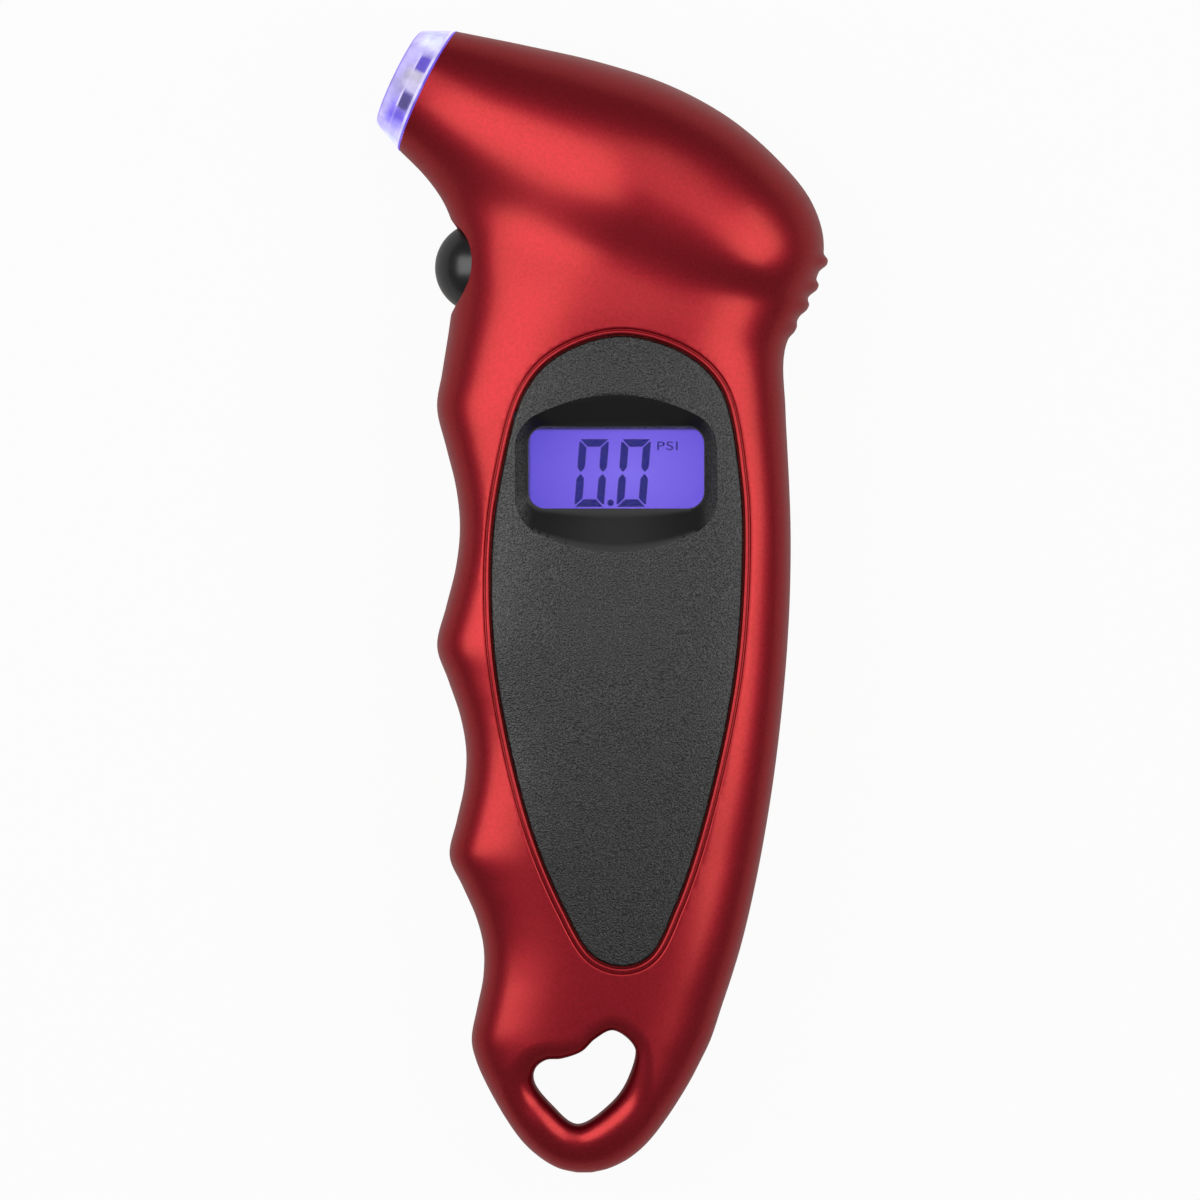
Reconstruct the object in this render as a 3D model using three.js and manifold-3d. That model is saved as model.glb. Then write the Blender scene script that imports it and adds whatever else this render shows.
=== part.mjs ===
// A pistol-shaped digital tyre pressure gauge, lying on its back.
// Millimetres. +X is the thumb side, +Y points to the head, +Z points out of the display.
import * as THREE from 'three';
import { mergeVertices } from 'three/addons/utils/BufferGeometryUtils.js';
import Module from 'manifold-3d';

const wasm = await Module();
wasm.setup();

// ---------------------------------------------------------------- driving dimensions

// Body surface. Heights are measured from the plane in which the two shells meet.
const partingZ = 15;            // height of the shells' joint plane above the flat back
const partingGap = 0.1;         // hairline between the shells
const wallThick = 2;            // moulded wall of both shells
const noseRadius = 9;           // round end of the body behind the clear collar
const barrelFrontHeight = 15.8; // ridge of the head barrel on the display side
const barrelRearHeight = 13.4;  // ridge of the head barrel on the back
const barrelSwell = 32.5;       // length over which the nose grows into the barrel
const handleFrontHeight = 12.6; // display face of the handle
const handleRearHeight = 16.2;  // back of the handle before the flat trims it
const tailFrontDrop = 6.0;      // how far the display face falls towards the tail
const tailRearDrop = 8.4;       // how far the back rises towards the tail
const tailFrontStart = -5;      // where the display face starts to fall
const tailRearStart = -17;      // where the back starts to rise
const tailTaperY = -66;         // where the tail starts to round over to its tip
const tailTipY = -77.5;         // end of the tail
const neckRise = 0.85;          // the display face climbs this much towards the barrel
const neckStartY = 30;
const neckEndY = 48;
const foldLevel = 47.9;         // Y of the fold under the barrel, at X = 0
const foldSlope = -0.235;       // it runs down towards the thumb side
const foldSquash = 0.94;        // length across the slanting fold for each mm along Y
const foldWidth = 5.8;          // half width of the fold
const foldDepth = 1.4;          // depth of the fold at X = 0
const foldFade = 0.024;         // how fast it gets shallower towards the thumb side
const foldBlend = 2.2;          // softness of the change from barrel to handle at X = 0
const foldBlendFade = 0.047;    // how fast the change gets harder towards the thumb side

// Edges of the body in plan: pairs of left and right points, from the nose round the head.
const headPairs = [
  [[-27.13, 60.93], [-19.25, 77.11]],
  [[-24.0, 57.8], [-10.1, 75.3]],
  [[-21.8, 54.9], [-0.1, 73.1]],
  [[-20.5, 52.2], [9.2, 70.1]],
  [[-19.7, 49.3], [17.2, 65.8]],
  [[-19.6, 46.4], [23.8, 60.2]],
  [[-19.8, 43.2], [28.6, 54.2]],
  [[-20.3, 39.8], [30.2, 47.7]],
  [[-20.8, 36.2], [27.9, 40.9]],
  [[-21.6, 31.2], [24.9, 34.1]],
];
// Crests between the finger grooves, and the plain right edge of the handle.
const gripCrests = [[-22.3, 26.3], [-22.3, -5.9], [-20.6, -34.4], [-17.6, -59.1]];
const grooveDepth = 3.1;
const grooveFullness = 1.3;     // below 2 the groove is round and the crest is narrow
const rightEdge = [[25.0, 26.3], [25.7, 8.8], [25.2, -6.6], [23.0, -26.5], [19.0, -45.3], [14.8, -59.1]];
// Edges of the tail below the last crest: how far down to the tip, left X, right X.
const tailRows = [
  [0.168, -17.0, 13.5], [0.353, -15.5, 11.7], [0.576, -13.2, 9.1], [0.761, -10.8, 6.5],
  [0.886, -8.3, 3.9], [0.962, -5.9, 1.2], [0.995, -3.5, -1.2],
];

// Thumb ribs across the right edge: place along Y and how far each stands out.
const thumbRibs = [[45.8, 0.6], [42.4, 0.65], [39.7, 0.42], [36.7, 0.3]];
const ribRadius = 1.0;
const ribHalfLength = 4.6;      // reach to each side of the joint

// Key-ring hole, heart-shaped, whose rims roll over into both faces.
const heartLoop = [
  [-2.6, -60.9], [-0.9, -59.2], [1.8, -58.1], [4.8, -60.7], [3.5, -65.4], [1.2, -68.5],
  [-3.1, -70.9], [-6.3, -68.5], [-8.8, -65.4], [-9.0, -63.2], [-7.4, -62.0], [-5.2, -61.9],
];
const rollReach = 4.3;          // how far out from the hole the faces start to roll in
const rollDepth = 3.0;
const rollPower = 2.5;          // above 2 the roll starts softly

// Display panel: teardrop insert in a pocket of the front shell, inside a raised bead.
const panelLoop = [
  [2.6, 36.0], [11.7, 33.3], [16.5, 28.4], [18.9, 16.5], [19.3, 5.6], [18.1, -10.7],
  [13.9, -30.2], [10.1, -41.6], [6.7, -48.1], [3.1, -49.5], [-0.9, -48.1], [-5.0, -41.6],
  [-9.6, -30.2], [-14.0, -10.7], [-14.9, 5.6], [-13.8, 16.5], [-10.5, 28.4], [-6.0, 33.3],
];
const panelGap = 0.25;          // gap all round the panel
const beadWidth = 0.55;
const beadHeight = 0.35;
const pocketFloorThick = 1.4;
const pocketWallThick = 1.5;
const recessCentre = [2.16, 17.58];
const recessWidth = 27.3;
const recessHeight = 20.8;
const recessCorner = 4.2;
const recessBulge = 2.1;        // how far its top and bottom edges arch out
const recessDepth = 2.2;
const recessRimDrop = 0.3;      // the rim lies this far under the crown of the face
const recessLedge = 0.3;        // flat left round the window at the foot of the slopes
const windowCentre = [2.2, 17.85];
const windowWidth = 23.7;
const windowHeight = 11;
const windowCorner = 2.5;
const windowThick = 0.8;        // flange behind the panel
const windowGap = 0.15;
const windowSink = 0.2;         // from the foot of the slopes down to the window's face
const windowFlange = 1.2;

// Button on the finger side, under the nose.
const buttonY = 45.1;
const buttonRadius = 6.2;
const buttonGap = 0.3;
const buttonDomeX = -16.2;      // where the dome starts; it bulges towards -X
const buttonSkirt = 1.0;
const buttonStem = 2.1;         // length of the stem behind the skirt
const buttonStemRadius = 1.5;
const buttonTravel = 0.8;
const buttonLugReach = 7.7;
const buttonLugHeight = 8.4;

// Nose and valve fittings, along the nose axis; 0 is the end of the body, + is outwards.
const noseCentre = [-23.19, 69.02];
const noseTilt = THREE.MathUtils.degToRad(64);
const noseBoreRadius = 6.9;
const collarLength = 4.6;
const collarTipRadius = 6.95;
const collarSpigotRadius = 6.6;
const collarSpigotLength = 3.5;
const inletRadius = 5.2;
const inletGap = 0.3;
const mouthRadius = 4.35;
const mouthFreeDepth = 7;
const mouthRecess = 0.3;        // how far the inlet stays behind the collar's tip
const sealThick = 1.6;
const sealHole = 2.6;
const pinRadius = 0.9;
const pinFlangeThick = 1.0;
const pinLength = 3.9;
const inletWeb = 1.6;
const inletShoulder = 0.7;      // collar that the shells' ribs hold
const barbRadius = 1.4;
const barbLength = 4;
const airHole = 0.6;
const ledRadius = 0.9;
const ledOffset = 6.9;
const ledTip = 0.5;
const ledLength = 3.7;

// Electronics.
const boardWidth = 31;
const boardTopY = 50;
const boardBottomY = -10;
const boardLeftX = -12.5;
const boardThick = 1.6;
const boardRearZ = 17;
const glassThick = 1.8;
const glassSize = [27, 14.5];
const glassGap = 0.2;           // round the glass in its holder
const holderRim = 2;            // width of the holder round the glass
const guideThick = 1.8;
const guideMargin = [0.5, 0.75]; // how much smaller the light guide is than the glass, each side
const stackGap = 0.1;
const sensorCentre = [2, 43];
const sensorSize = [7, 7, 4.4];
const sensorPortDepth = 3;      // from the board to the axis of the sensor's port
const portLength = 5.2;
const crystalPlace = [12, 30];
const crystalSize = [3.2, 8, 2.6];
const powerCapacitorPlace = [12.5, 19];
const powerCapacitorSize = [4.4, 4.4, 3.4];
const filterCapacitorPlace = [-6, 19];
const filterCapacitorSize = [3.6, 2, 1.4];
const blobPlace = [3, 27];
const blobRadius = 4.6;
const blobHeight = 1.5;
const switchSize = [3.5, 6];    // along the button's axis, and across it
const hoseRadius = 2.5;
const hoseBore = 1.7;
const hoseBend = [[-3.4, 59.6], [0.6, 56.6]];
const wireRadius = 0.35;
const wireRoutes = [
  [[-13, 71, 16.4], [-7.4, 64.5, 19.7], [-4.6, 56, 20.2], [-4, 48.5, 19]],
  [[-14.6, 56.4, 17], [-10.5, 52.4, 19.6], [-8, 48.5, 19]],
];

// Batteries, in a bay that opens through the flat back.
const bayX = 3;
const coinRadius = 10;
const coinThick = 3.2;
const coinY = 2;
const cellRadius = 5.8;
const cellLength = 5.4;
const cellCount = 3;
const stackY = -15;
const cellGap = 0.15;
const bayWall = 1.2;
const contactThick = 0.4;
const doorThick = 1.8;
const doorGap = 0.25;
const doorLedge = 1.6;
const doorScrewReach = 3.4;     // from the bay's wall to each door screw
const doorCorner = 3;

// Screws.
const caseScrews = [[18.3, 54.6], [-3.2, 67.3], [0.6, -51.6]];
const caseScrewSeatZ = 7;
const screwHeadRadius = 2.3;
const screwHeadThick = 1.7;
const screwShankRadius = 1.1;
const screwGap = 0.2;
const caseScrewLength = 12.5;
const bossWall = 1.8;
const seatGap = 0.05;           // under every screw head
const boardScrewInset = 2.5;    // from the board's edges
const boardScrewHeadRadius = 1.7;
const boardScrewShankRadius = 0.8;
const boardScrewLength = 4.4;
const boardScrewHeadThick = 1.1;
const postWall = 1.3;
const doorScrewHeadRadius = 1.9;
const doorScrewShankRadius = 0.8;
const doorScrewLength = 4.6;
const doorScrewHeadThick = 0.85;
const doorScrewSeatZ = 1;

// Facets.
const outerFacets = { halfRing: 12, perPair: 1.125 };
const cavityFacets = { halfRing: 7, perPair: 0.75 };
const roundSteps = 20;
const heartSteps = 24;
const rollParts = [1, 0.92, 0.72, 0.4];    // steps of the rolled rim, from the hole outwards

// ---------------------------------------------------------------- solids and booleans

function solidOf(geometry) {
  const bare = geometry.clone();
  bare.deleteAttribute('normal');
  bare.deleteAttribute('uv');
  const merged = mergeVertices(bare, 1e-4);
  return new wasm.Manifold(new wasm.Mesh({
    numProp: 3,
    vertProperties: new Float32Array(merged.attributes.position.array),
    triVerts: new Uint32Array(merged.index.array),
  }));
}

function geometryOf(solid) {
  const mesh = solid.getMesh();
  const geometry = new THREE.BufferGeometry();
  geometry.setAttribute('position', new THREE.BufferAttribute(mesh.vertProperties, 3));
  geometry.setIndex(new THREE.BufferAttribute(mesh.triVerts, 1));
  geometry.computeVertexNormals();
  return geometry;
}

function join(...solids) {
  return solids.reduce((whole, piece) => whole.add(piece));
}

function cut(solid, ...cutters) {
  return cutters.reduce((left, cutter) => left.subtract(cutter), solid);
}

function block(x0, x1, y0, y1, z0, z1) {
  const geometry = new THREE.BoxGeometry(x1 - x0, y1 - y0, z1 - z0);
  geometry.translate((x0 + x1) / 2, (y0 + y1) / 2, (z0 + z1) / 2);
  return solidOf(geometry);
}

// Round bar on a named axis, between two places on that axis.
function bar(axis, radius, from, to, [u, v], steps = roundSteps) {
  const geometry = new THREE.CylinderGeometry(radius, radius, to - from, steps);
  const middle = (from + to) / 2;
  if (axis === 'x') geometry.rotateZ(Math.PI / 2).translate(middle, u, v);
  if (axis === 'y') geometry.translate(u, middle, v);
  if (axis === 'z') geometry.rotateX(Math.PI / 2).translate(u, v, middle);
  return solidOf(geometry);
}

function loopOf(points, closed = true, steps = 40) {
  const curve = new THREE.CatmullRomCurve3(points.map(([x, y]) => new THREE.Vector3(x, y, 0)), closed);
  return curve.getPoints(steps).slice(0, steps).map((point) => [point.x, point.y]);
}

function offsetLoop(loop, distance) {
  const area = loop.reduce((sum, [x, y], i) => {
    const [nextX, nextY] = loop[(i + 1) % loop.length];
    return sum + x * nextY - nextX * y;
  }, 0);
  return loop.map(([x, y], i) => {
    const before = loop[(i + loop.length - 1) % loop.length];
    const after = loop[(i + 1) % loop.length];
    const along = new THREE.Vector2(after[0] - before[0], after[1] - before[1]).normalize();
    return [x + Math.sign(area) * along.y * distance, y - Math.sign(area) * along.x * distance];
  });
}

function prism(loop, z0, z1) {
  const shape = new THREE.Shape(loop.map(([x, y]) => new THREE.Vector2(x, y)));
  const geometry = new THREE.ExtrudeGeometry(shape, { depth: z1 - z0, bevelEnabled: false });
  return solidOf(geometry.translate(0, 0, z0));
}

function roundedLoop([x, y], width, height, corner, steps = 4) {
  const loop = [];
  const turns = [[1, 1, 0], [-1, 1, 1], [-1, -1, 2], [1, -1, 3]];
  for (const [sideX, sideY, quarter] of turns) {
    for (let i = 0; i <= steps; i += 1) {
      const angle = (quarter + i / steps) * Math.PI / 2;
      loop.push([
        x + sideX * (width / 2 - corner) + corner * Math.cos(angle),
        y + sideY * (height / 2 - corner) + corner * Math.sin(angle),
      ]);
    }
  }
  return loop;
}

// Rounded rectangle whose top and bottom edges arch out by the bulge.
function barrelLoop([x, y], width, height, corner, bulge, steps = 4) {
  const slope = Math.atan(4 * bulge / (width - corner));
  const last = Math.PI / 2 - slope;
  const endX = width / 2 - corner + corner * Math.cos(last);
  const endY = height / 2 - bulge;
  const quarter = [];
  for (let i = 0; i <= steps; i += 1) {
    const angle = last * i / steps;
    quarter.push([
      width / 2 - corner + corner * Math.cos(angle),
      endY + corner * (Math.sin(angle) - Math.sin(last)),
    ]);
  }
  for (let i = 1; i <= steps; i += 1) {
    const part = 1 - i / steps;
    quarter.push([endX * part, endY + bulge * (1 - part * part)]);
  }
  const half = [...quarter, ...quarter.slice(0, -1).reverse().map(([px, py]) => [-px, py])];
  const other = half.map(([px, py]) => [-px, -py]);
  return [...half, ...other].map(([px, py]) => [x + px, y + py]);
}

// Closed body through rings that have the same number of points.
function loft(rings) {
  const count = rings[0].length;
  const positions = rings.flat(2);
  const faces = [];
  for (let i = 0; i + 1 < rings.length; i += 1) {
    for (let k = 0; k < count; k += 1) {
      const a = i * count + k;
      const b = i * count + (k + 1) % count;
      faces.push(a, b, b + count, a, b + count, a + count);
    }
  }
  for (const [ring, turned] of [[0, true], [rings.length - 1, false]]) {
    const centre = positions.length / 3;
    positions.push(...[0, 1, 2].map((axis) => rings[ring].reduce((sum, p) => sum + p[axis], 0) / count));
    for (let k = 0; k < count; k += 1) {
      const a = ring * count + k;
      const b = ring * count + (k + 1) % count;
      faces.push(...(turned ? [b, a, centre] : [a, b, centre]));
    }
  }
  const corner = (i) => new THREE.Vector3(...positions.slice(3 * i, 3 * i + 3));
  let volume = 0;
  for (let i = 0; i < faces.length; i += 3) {
    volume += corner(faces[i]).dot(corner(faces[i + 1]).cross(corner(faces[i + 2])));
  }
  if (volume < 0) faces.reverse();
  const geometry = new THREE.BufferGeometry();
  geometry.setAttribute('position', new THREE.Float32BufferAttribute(positions, 3));
  geometry.setIndex(faces);
  return solidOf(geometry);
}

function atHeight(loop, z) {
  return loop.map(([x, y]) => [x, y, z]);
}

// Turned piece on the nose axis. The profile is [radius, place] and closes on itself.
function turned(profile, steps = roundSteps) {
  const points = profile.map(([radius, place]) => new THREE.Vector2(radius, place));
  points.push(points[0].clone());
  const geometry = new THREE.LatheGeometry(points, steps);
  const solid = solidOf(geometry);
  return solid.volume() < 0 ? solidOf(flipped(geometry)) : solid;
}

function flipped(geometry) {
  const turnedOver = geometry.clone();
  turnedOver.index.array.reverse();
  return turnedOver;
}

function tube(points, radius, bore, sides, steps) {
  const shape = new THREE.Shape().absarc(0, 0, radius, 0, 2 * Math.PI);
  if (bore > 0) shape.holes.push(new THREE.Path().absarc(0, 0, bore, 0, 2 * Math.PI));
  const path = new THREE.CatmullRomCurve3(points.map((point) => new THREE.Vector3(...point)));
  return solidOf(new THREE.ExtrudeGeometry(shape, { extrudePath: path, steps, curveSegments: sides }));
}

// ---------------------------------------------------------------- body surface

function smooth(from, to, value) {
  return THREE.MathUtils.smoothstep(value, from, to);
}

// X of a curve through [x, y] knots that run down in Y.
function edgeAt(knots, y) {
  const curve = new THREE.CatmullRomCurve3(knots.map(([kx, ky]) => new THREE.Vector3(kx, ky, 0)));
  let low = 0;
  let high = 1;
  for (let i = 0; i < 30; i += 1) {
    const middle = (low + high) / 2;
    if (curve.getPoint(middle).y > y) low = middle;
    else high = middle;
  }
  return curve.getPoint(low).x;
}

function gripPairs() {
  const pairs = [];
  const stepsPerGroove = 6;
  for (let groove = 0; groove + 1 < gripCrests.length; groove += 1) {
    const [topX, topY] = gripCrests[groove];
    const [bottomX, bottomY] = gripCrests[groove + 1];
    for (let i = 0; i < stepsPerGroove; i += 1) {
      const part = i / stepsPerGroove;
      const y = topY + (bottomY - topY) * part;
      const dip = grooveDepth * Math.sin(Math.PI * part) ** grooveFullness;
      pairs.push([[topX + (bottomX - topX) * part + dip, y], [edgeAt(rightEdge, y), y]]);
    }
  }
  pairs.push([gripCrests.at(-1), rightEdge.at(-1)]);
  return pairs;
}

function tailPairs() {
  const startY = gripCrests.at(-1)[1];
  return tailRows.map(([part, left, right]) => {
    const y = startY + (tailTipY - startY) * part;
    return [[left, y], [right, y]];
  });
}

const edgePairs = [
  ...headPairs,
  ...gripPairs(),
  ...tailPairs(),
];
const lastStation = edgePairs.length - 1;
const crestStation = headPairs.length;
const sideCurves = [0, 1].map((side) => new THREE.CatmullRomCurve3(
  edgePairs.map((pair) => new THREE.Vector3(...pair[side], 0)), false, 'catmullrom', 0.5,
));

// Squareness of the section: round at the nose, boxier along the handle, rounder at the tail.
function sectionPower(station) {
  const headPart = 0.4 * smooth(0, 5, station);
  const handlePart = 1.2 * smooth(6, 14, station);
  const tailPart = 0.8 * smooth(24, 32, station);
  return 2 + headPart + handlePart - tailPart;
}

// Height of the surface's crown over the joint plane, at a place in plan.
function crownHeight(x, y, front) {
  const alongNose = (x - noseCentre[0]) * Math.sin(noseTilt) - (y - noseCentre[1]) * Math.cos(noseTilt);
  const ridge = front ? barrelFrontHeight : barrelRearHeight;
  const barrel = noseRadius + (ridge - noseRadius) * smooth(0, barrelSwell, alongNose);
  const start = front ? tailFrontStart : tailRearStart;
  const drop = front ? tailFrontDrop : tailRearDrop;
  const fall = Math.max(0, (start - y) / (start - tailTipY)) ** 1.7;
  const rise = front ? neckRise * smooth(neckStartY, neckEndY, y) : 0;
  const handle = (front ? handleFrontHeight : handleRearHeight) - drop * fall + rise;
  const below = foldSquash * (foldLevel + foldSlope * x - y);
  const share = 1 / (1 + Math.exp(-below / Math.max(0.8, foldBlend - foldBlendFade * x)));
  const depth = Math.max(0, foldDepth - foldFade * x) * (front ? 1 : 0.6);
  const crown = barrel * (1 - share) + handle * share - depth * Math.exp(-((below / foldWidth) ** 2));
  const tipPart = Math.min(1, Math.max(0, (tailTaperY - y) / (tailTaperY - tailTipY)));
  return crown * Math.sqrt(1 - tipPart * tipPart);
}

// Point on the body. side runs from -1 at the left edge to 1 at the right edge.
function bodyPoint(station, side, front, inset = 0, lift = 0) {
  const [left, right] = sideCurves.map((curve) => curve.getPoint(station / lastStation));
  const across = right.clone().sub(left).normalize();
  left.addScaledVector(across, inset);
  right.addScaledVector(across, -inset);
  const place = left.lerp(right, (side + 1) / 2);
  const power = sectionPower(station);
  const profile = Math.max(0, 1 - Math.abs(side) ** power) ** (1 / power);
  const height = (crownHeight(place.x, place.y, front) - inset + lift) * profile;
  const z = front ? partingZ + height : Math.max(inset, partingZ - height);
  return [place.x, place.y, z];
}

function bodyRing(station, halfRing, inset, lift) {
  const ring = [];
  for (let k = 0; k < 2 * halfRing; k += 1) {
    const side = -Math.cos(Math.PI * k / halfRing);
    ring.push(bodyPoint(station, side, k <= halfRing, inset, lift));
  }
  return ring;
}

function bodySolid(from, to, facets, inset = 0, lift = 0) {
  const count = Math.round((to - from) * facets.perPair);
  const rings = [];
  for (let i = 0; i <= count; i += 1) {
    rings.push(bodyRing(from + (to - from) * i / count, facets.halfRing, inset, lift));
  }
  return loft(rings);
}

const cavityStart = 0.3;        // as places along the edge pairs
const cavityEnd = crestStation + 15;
const outerSolid = bodySolid(0, lastStation, outerFacets);
const cavitySolid = bodySolid(cavityStart, cavityEnd, cavityFacets, wallThick);
const beadSolid = bodySolid(crestStation - 3, crestStation + 17, outerFacets, 0, beadHeight);
const far = 100;                // reach of a cutter past the body

// ---------------------------------------------------------------- places worked out from the sizes

const boardFrontZ = boardRearZ + boardThick;
const boardRightX = boardLeftX + boardWidth;
const boardScrews = [
  [boardLeftX + boardScrewInset, boardBottomY + boardScrewInset],
  [boardRightX - boardScrewInset, boardBottomY + boardScrewInset],
  [boardRightX - boardScrewInset, boardTopY - boardScrewInset],
];
const guideSize = glassSize.map((size, i) => size - 2 * guideMargin[i]);
const holderSize = glassSize.map((size) => size + 2 * holderRim);
const portZ = boardRearZ - stackGap - sensorPortDepth;
const portTipY = sensorCentre[1] + sensorSize[1] / 2 + portLength;
const guideZ = boardFrontZ + stackGap;
const glassZ = guideZ + guideThick + stackGap;
const glassTopZ = glassZ + glassThick;
const pocketZ = glassTopZ + stackGap + 0.6;      // floor of the panel's pocket
const pocketRearZ = pocketZ - pocketFloorThick;
const faceZ = partingZ + handleFrontHeight;
const recessFloorZ = faceZ - recessDepth;
const coinPocketRadius = coinRadius + cellGap + 0.15;
const coinZ = doorThick + cellGap;
const coinCeilingZ = coinZ + coinThick + contactThick + 2 * cellGap;
const cellZ = doorThick + cellGap + cellRadius;  // axis of the button cells
const cellCeilingZ = cellZ + cellRadius + cellGap;
const cellsLength = cellCount * cellLength + (cellCount - 1) * cellGap;
const cellPocketHalf = cellsLength / 2 + 2 * (contactThick + cellGap) + 0.6;
const bayHalf = Math.max(coinPocketRadius, cellPocketHalf);
const bayTopY = coinY + coinPocketRadius;
const bayBottomY = stackY - cellRadius - cellGap;
const doorTopY = bayTopY + doorScrewReach + doorScrewHeadRadius;
const doorBottomY = bayBottomY - doorScrewReach - doorScrewHeadRadius;
const doorWidth = 2 * (bayHalf + doorLedge);
const doorCentre = [bayX, (doorTopY + doorBottomY) / 2];
const doorScrews = [[bayX, bayTopY + doorScrewReach], [bayX, bayBottomY - doorScrewReach]];
const noseMatrix = new THREE.Matrix4().makeRotationZ(noseTilt).setPosition(...noseCentre, partingZ);
const mouthTipPlace = collarLength - mouthRecess;
const sealPlace = mouthTipPlace - mouthFreeDepth;
const pinFlangePlace = sealPlace - sealThick - inletGap;
const inletFloorPlace = pinFlangePlace - pinFlangeThick - inletGap;
const inletEndPlace = inletFloorPlace - inletWeb;
const shoulderPlace = -collarSpigotLength - 1.2;
const shoulderThick = 1.4;
const ribThick = 1.4;
const ledOffsets = [ledOffset, -ledOffset];

function atNose(solid) {
  return solidOf(geometryOf(solid).applyMatrix4(noseMatrix));
}

function noseRod(radius, from, to, offset = 0) {
  return bar('y', radius, from, to, [offset, 0]);
}

// ---------------------------------------------------------------- shells

const panelOutline = loopOf(panelLoop);

// Openings that both shells share at the joint plane.
function sharedCutters() {
  return [
    atNose(noseRod(noseBoreRadius, -collarSpigotLength - 1.5, 1)),
    ...ledOffsets.map((offset) => atNose(
      noseRod(ledRadius + inletGap, -collarSpigotLength - 1.5, 1, offset),
    )),
    bar(
      'x', buttonRadius + buttonGap, -far, buttonDomeX + buttonSkirt + buttonTravel + 1.5,
      [buttonY, partingZ], 32,
    ),
    heartCutter(),
  ];
}

// Height of the body's surface under a place in plan, on the handle or the tail.
function surfaceHeight(x, y, front) {
  let low = crestStation;
  let high = lastStation;
  for (let i = 0; i < 30; i += 1) {
    const middle = (low + high) / 2;
    if (sideCurves[0].getPoint(middle / lastStation).y > y) low = middle;
    else high = middle;
  }
  const [left, right] = sideCurves.map((curve) => curve.getPoint(low / lastStation).x);
  return bodyPoint(low, 2 * (x - left) / (right - left) - 1, front)[2];
}

// Heart-shaped hole whose rims roll over into both faces.
function heartCutter() {
  const heart = loopOf(heartLoop, true, heartSteps);
  const rings = [];
  for (const front of [false, true]) {
    const away = front ? 1 : -1;
    const roll = rollParts.map((part) => {
      const drop = rollDepth * (1 - (1 - part ** rollPower) ** (1 / rollPower));
      const rolled = offsetLoop(heart, rollReach * (1 - part));
      return rolled.map(([x, y]) => [x, y, surfaceHeight(x, y, front) - away * drop]);
    });
    const beyond = roll.at(-1).map(([x, y, z]) => [x, y, z + away * rollDepth]);
    rings.push(...(front ? [...roll, beyond] : [beyond, ...roll.reverse()]));
  }
  return loft(rings);
}

// Ribs across the neck that hold the valve inlet behind its shoulder.
function neckRibs() {
  const from = shoulderPlace - shoulderThick - inletGap - ribThick;
  const slab = atNose(block(-4.4, 4.4, from, from + ribThick, -far / 4, far / 4));
  const bore = atNose(noseRod(inletRadius + inletGap, from - 1, from + ribThick + 1));
  return cut(slab.intersect(outerSolid), bore);
}

// X of the right edge beside the thumb.
function thumbEdgeX(y) {
  let low = 0;
  let high = crestStation;
  for (let i = 0; i < 30; i += 1) {
    const middle = (low + high) / 2;
    if (sideCurves[1].getPoint(middle / lastStation).y > y) low = middle;
    else high = middle;
  }
  return sideCurves[1].getPoint(low / lastStation).x;
}

// Rounded ribs that cross the joint, half in each shell.
function thumbRibSolids() {
  return thumbRibs.map(([y, proud]) => solidOf(
    new THREE.IcosahedronGeometry(1, 1).scale(ribRadius, ribRadius, ribHalfLength)
      .translate(thumbEdgeX(y) + proud - ribRadius, y, partingZ),
  ));
}

function frontShell() {
  const skin = cut(outerSolid, cavitySolid);
  const wellOutline = offsetLoop(panelOutline, panelGap + pocketWallThick);
  const well = prism(wellOutline, pocketRearZ, far).intersect(outerSolid);
  const bead = prism(offsetLoop(panelOutline, panelGap + beadWidth), pocketZ, far).intersect(beadSolid);
  const bosses = caseScrews.map((place) => bar('z', screwShankRadius + bossWall, partingZ, far, place, 16));
  const posts = boardScrews.map((place) => bar(
    'z', boardScrewShankRadius + postWall, boardFrontZ + stackGap, far, place, 12,
  ));
  const whole = join(
    skin, well, bead, neckRibs(),
    ...bosses.map((boss) => boss.intersect(outerSolid)),
    ...posts.map((post) => post.intersect(outerSolid)),
    ...thumbRibSolids(),
  );
  const pilotTop = caseScrewSeatZ + caseScrewLength + 0.8;
  const windowHole = glassSize.map((size) => size + 4 * glassGap);
  return cut(
    whole,
    block(-far, far, -far, far, -far, partingZ + partingGap / 2),
    prism(offsetLoop(panelOutline, panelGap), pocketZ, far),
    plate(windowCentre, windowHole, pocketRearZ - 1, pocketFloorThick + 2, 1),
    ...caseScrews.map((place) => bar('z', screwShankRadius + screwGap, 0, pilotTop, place, 12)),
    ...boardScrews.map((place) => bar(
      'z', boardScrewShankRadius + screwGap, 0, boardRearZ + boardScrewLength + 0.4, place, 12,
    )),
    ...sharedCutters(),
  );
}

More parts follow.
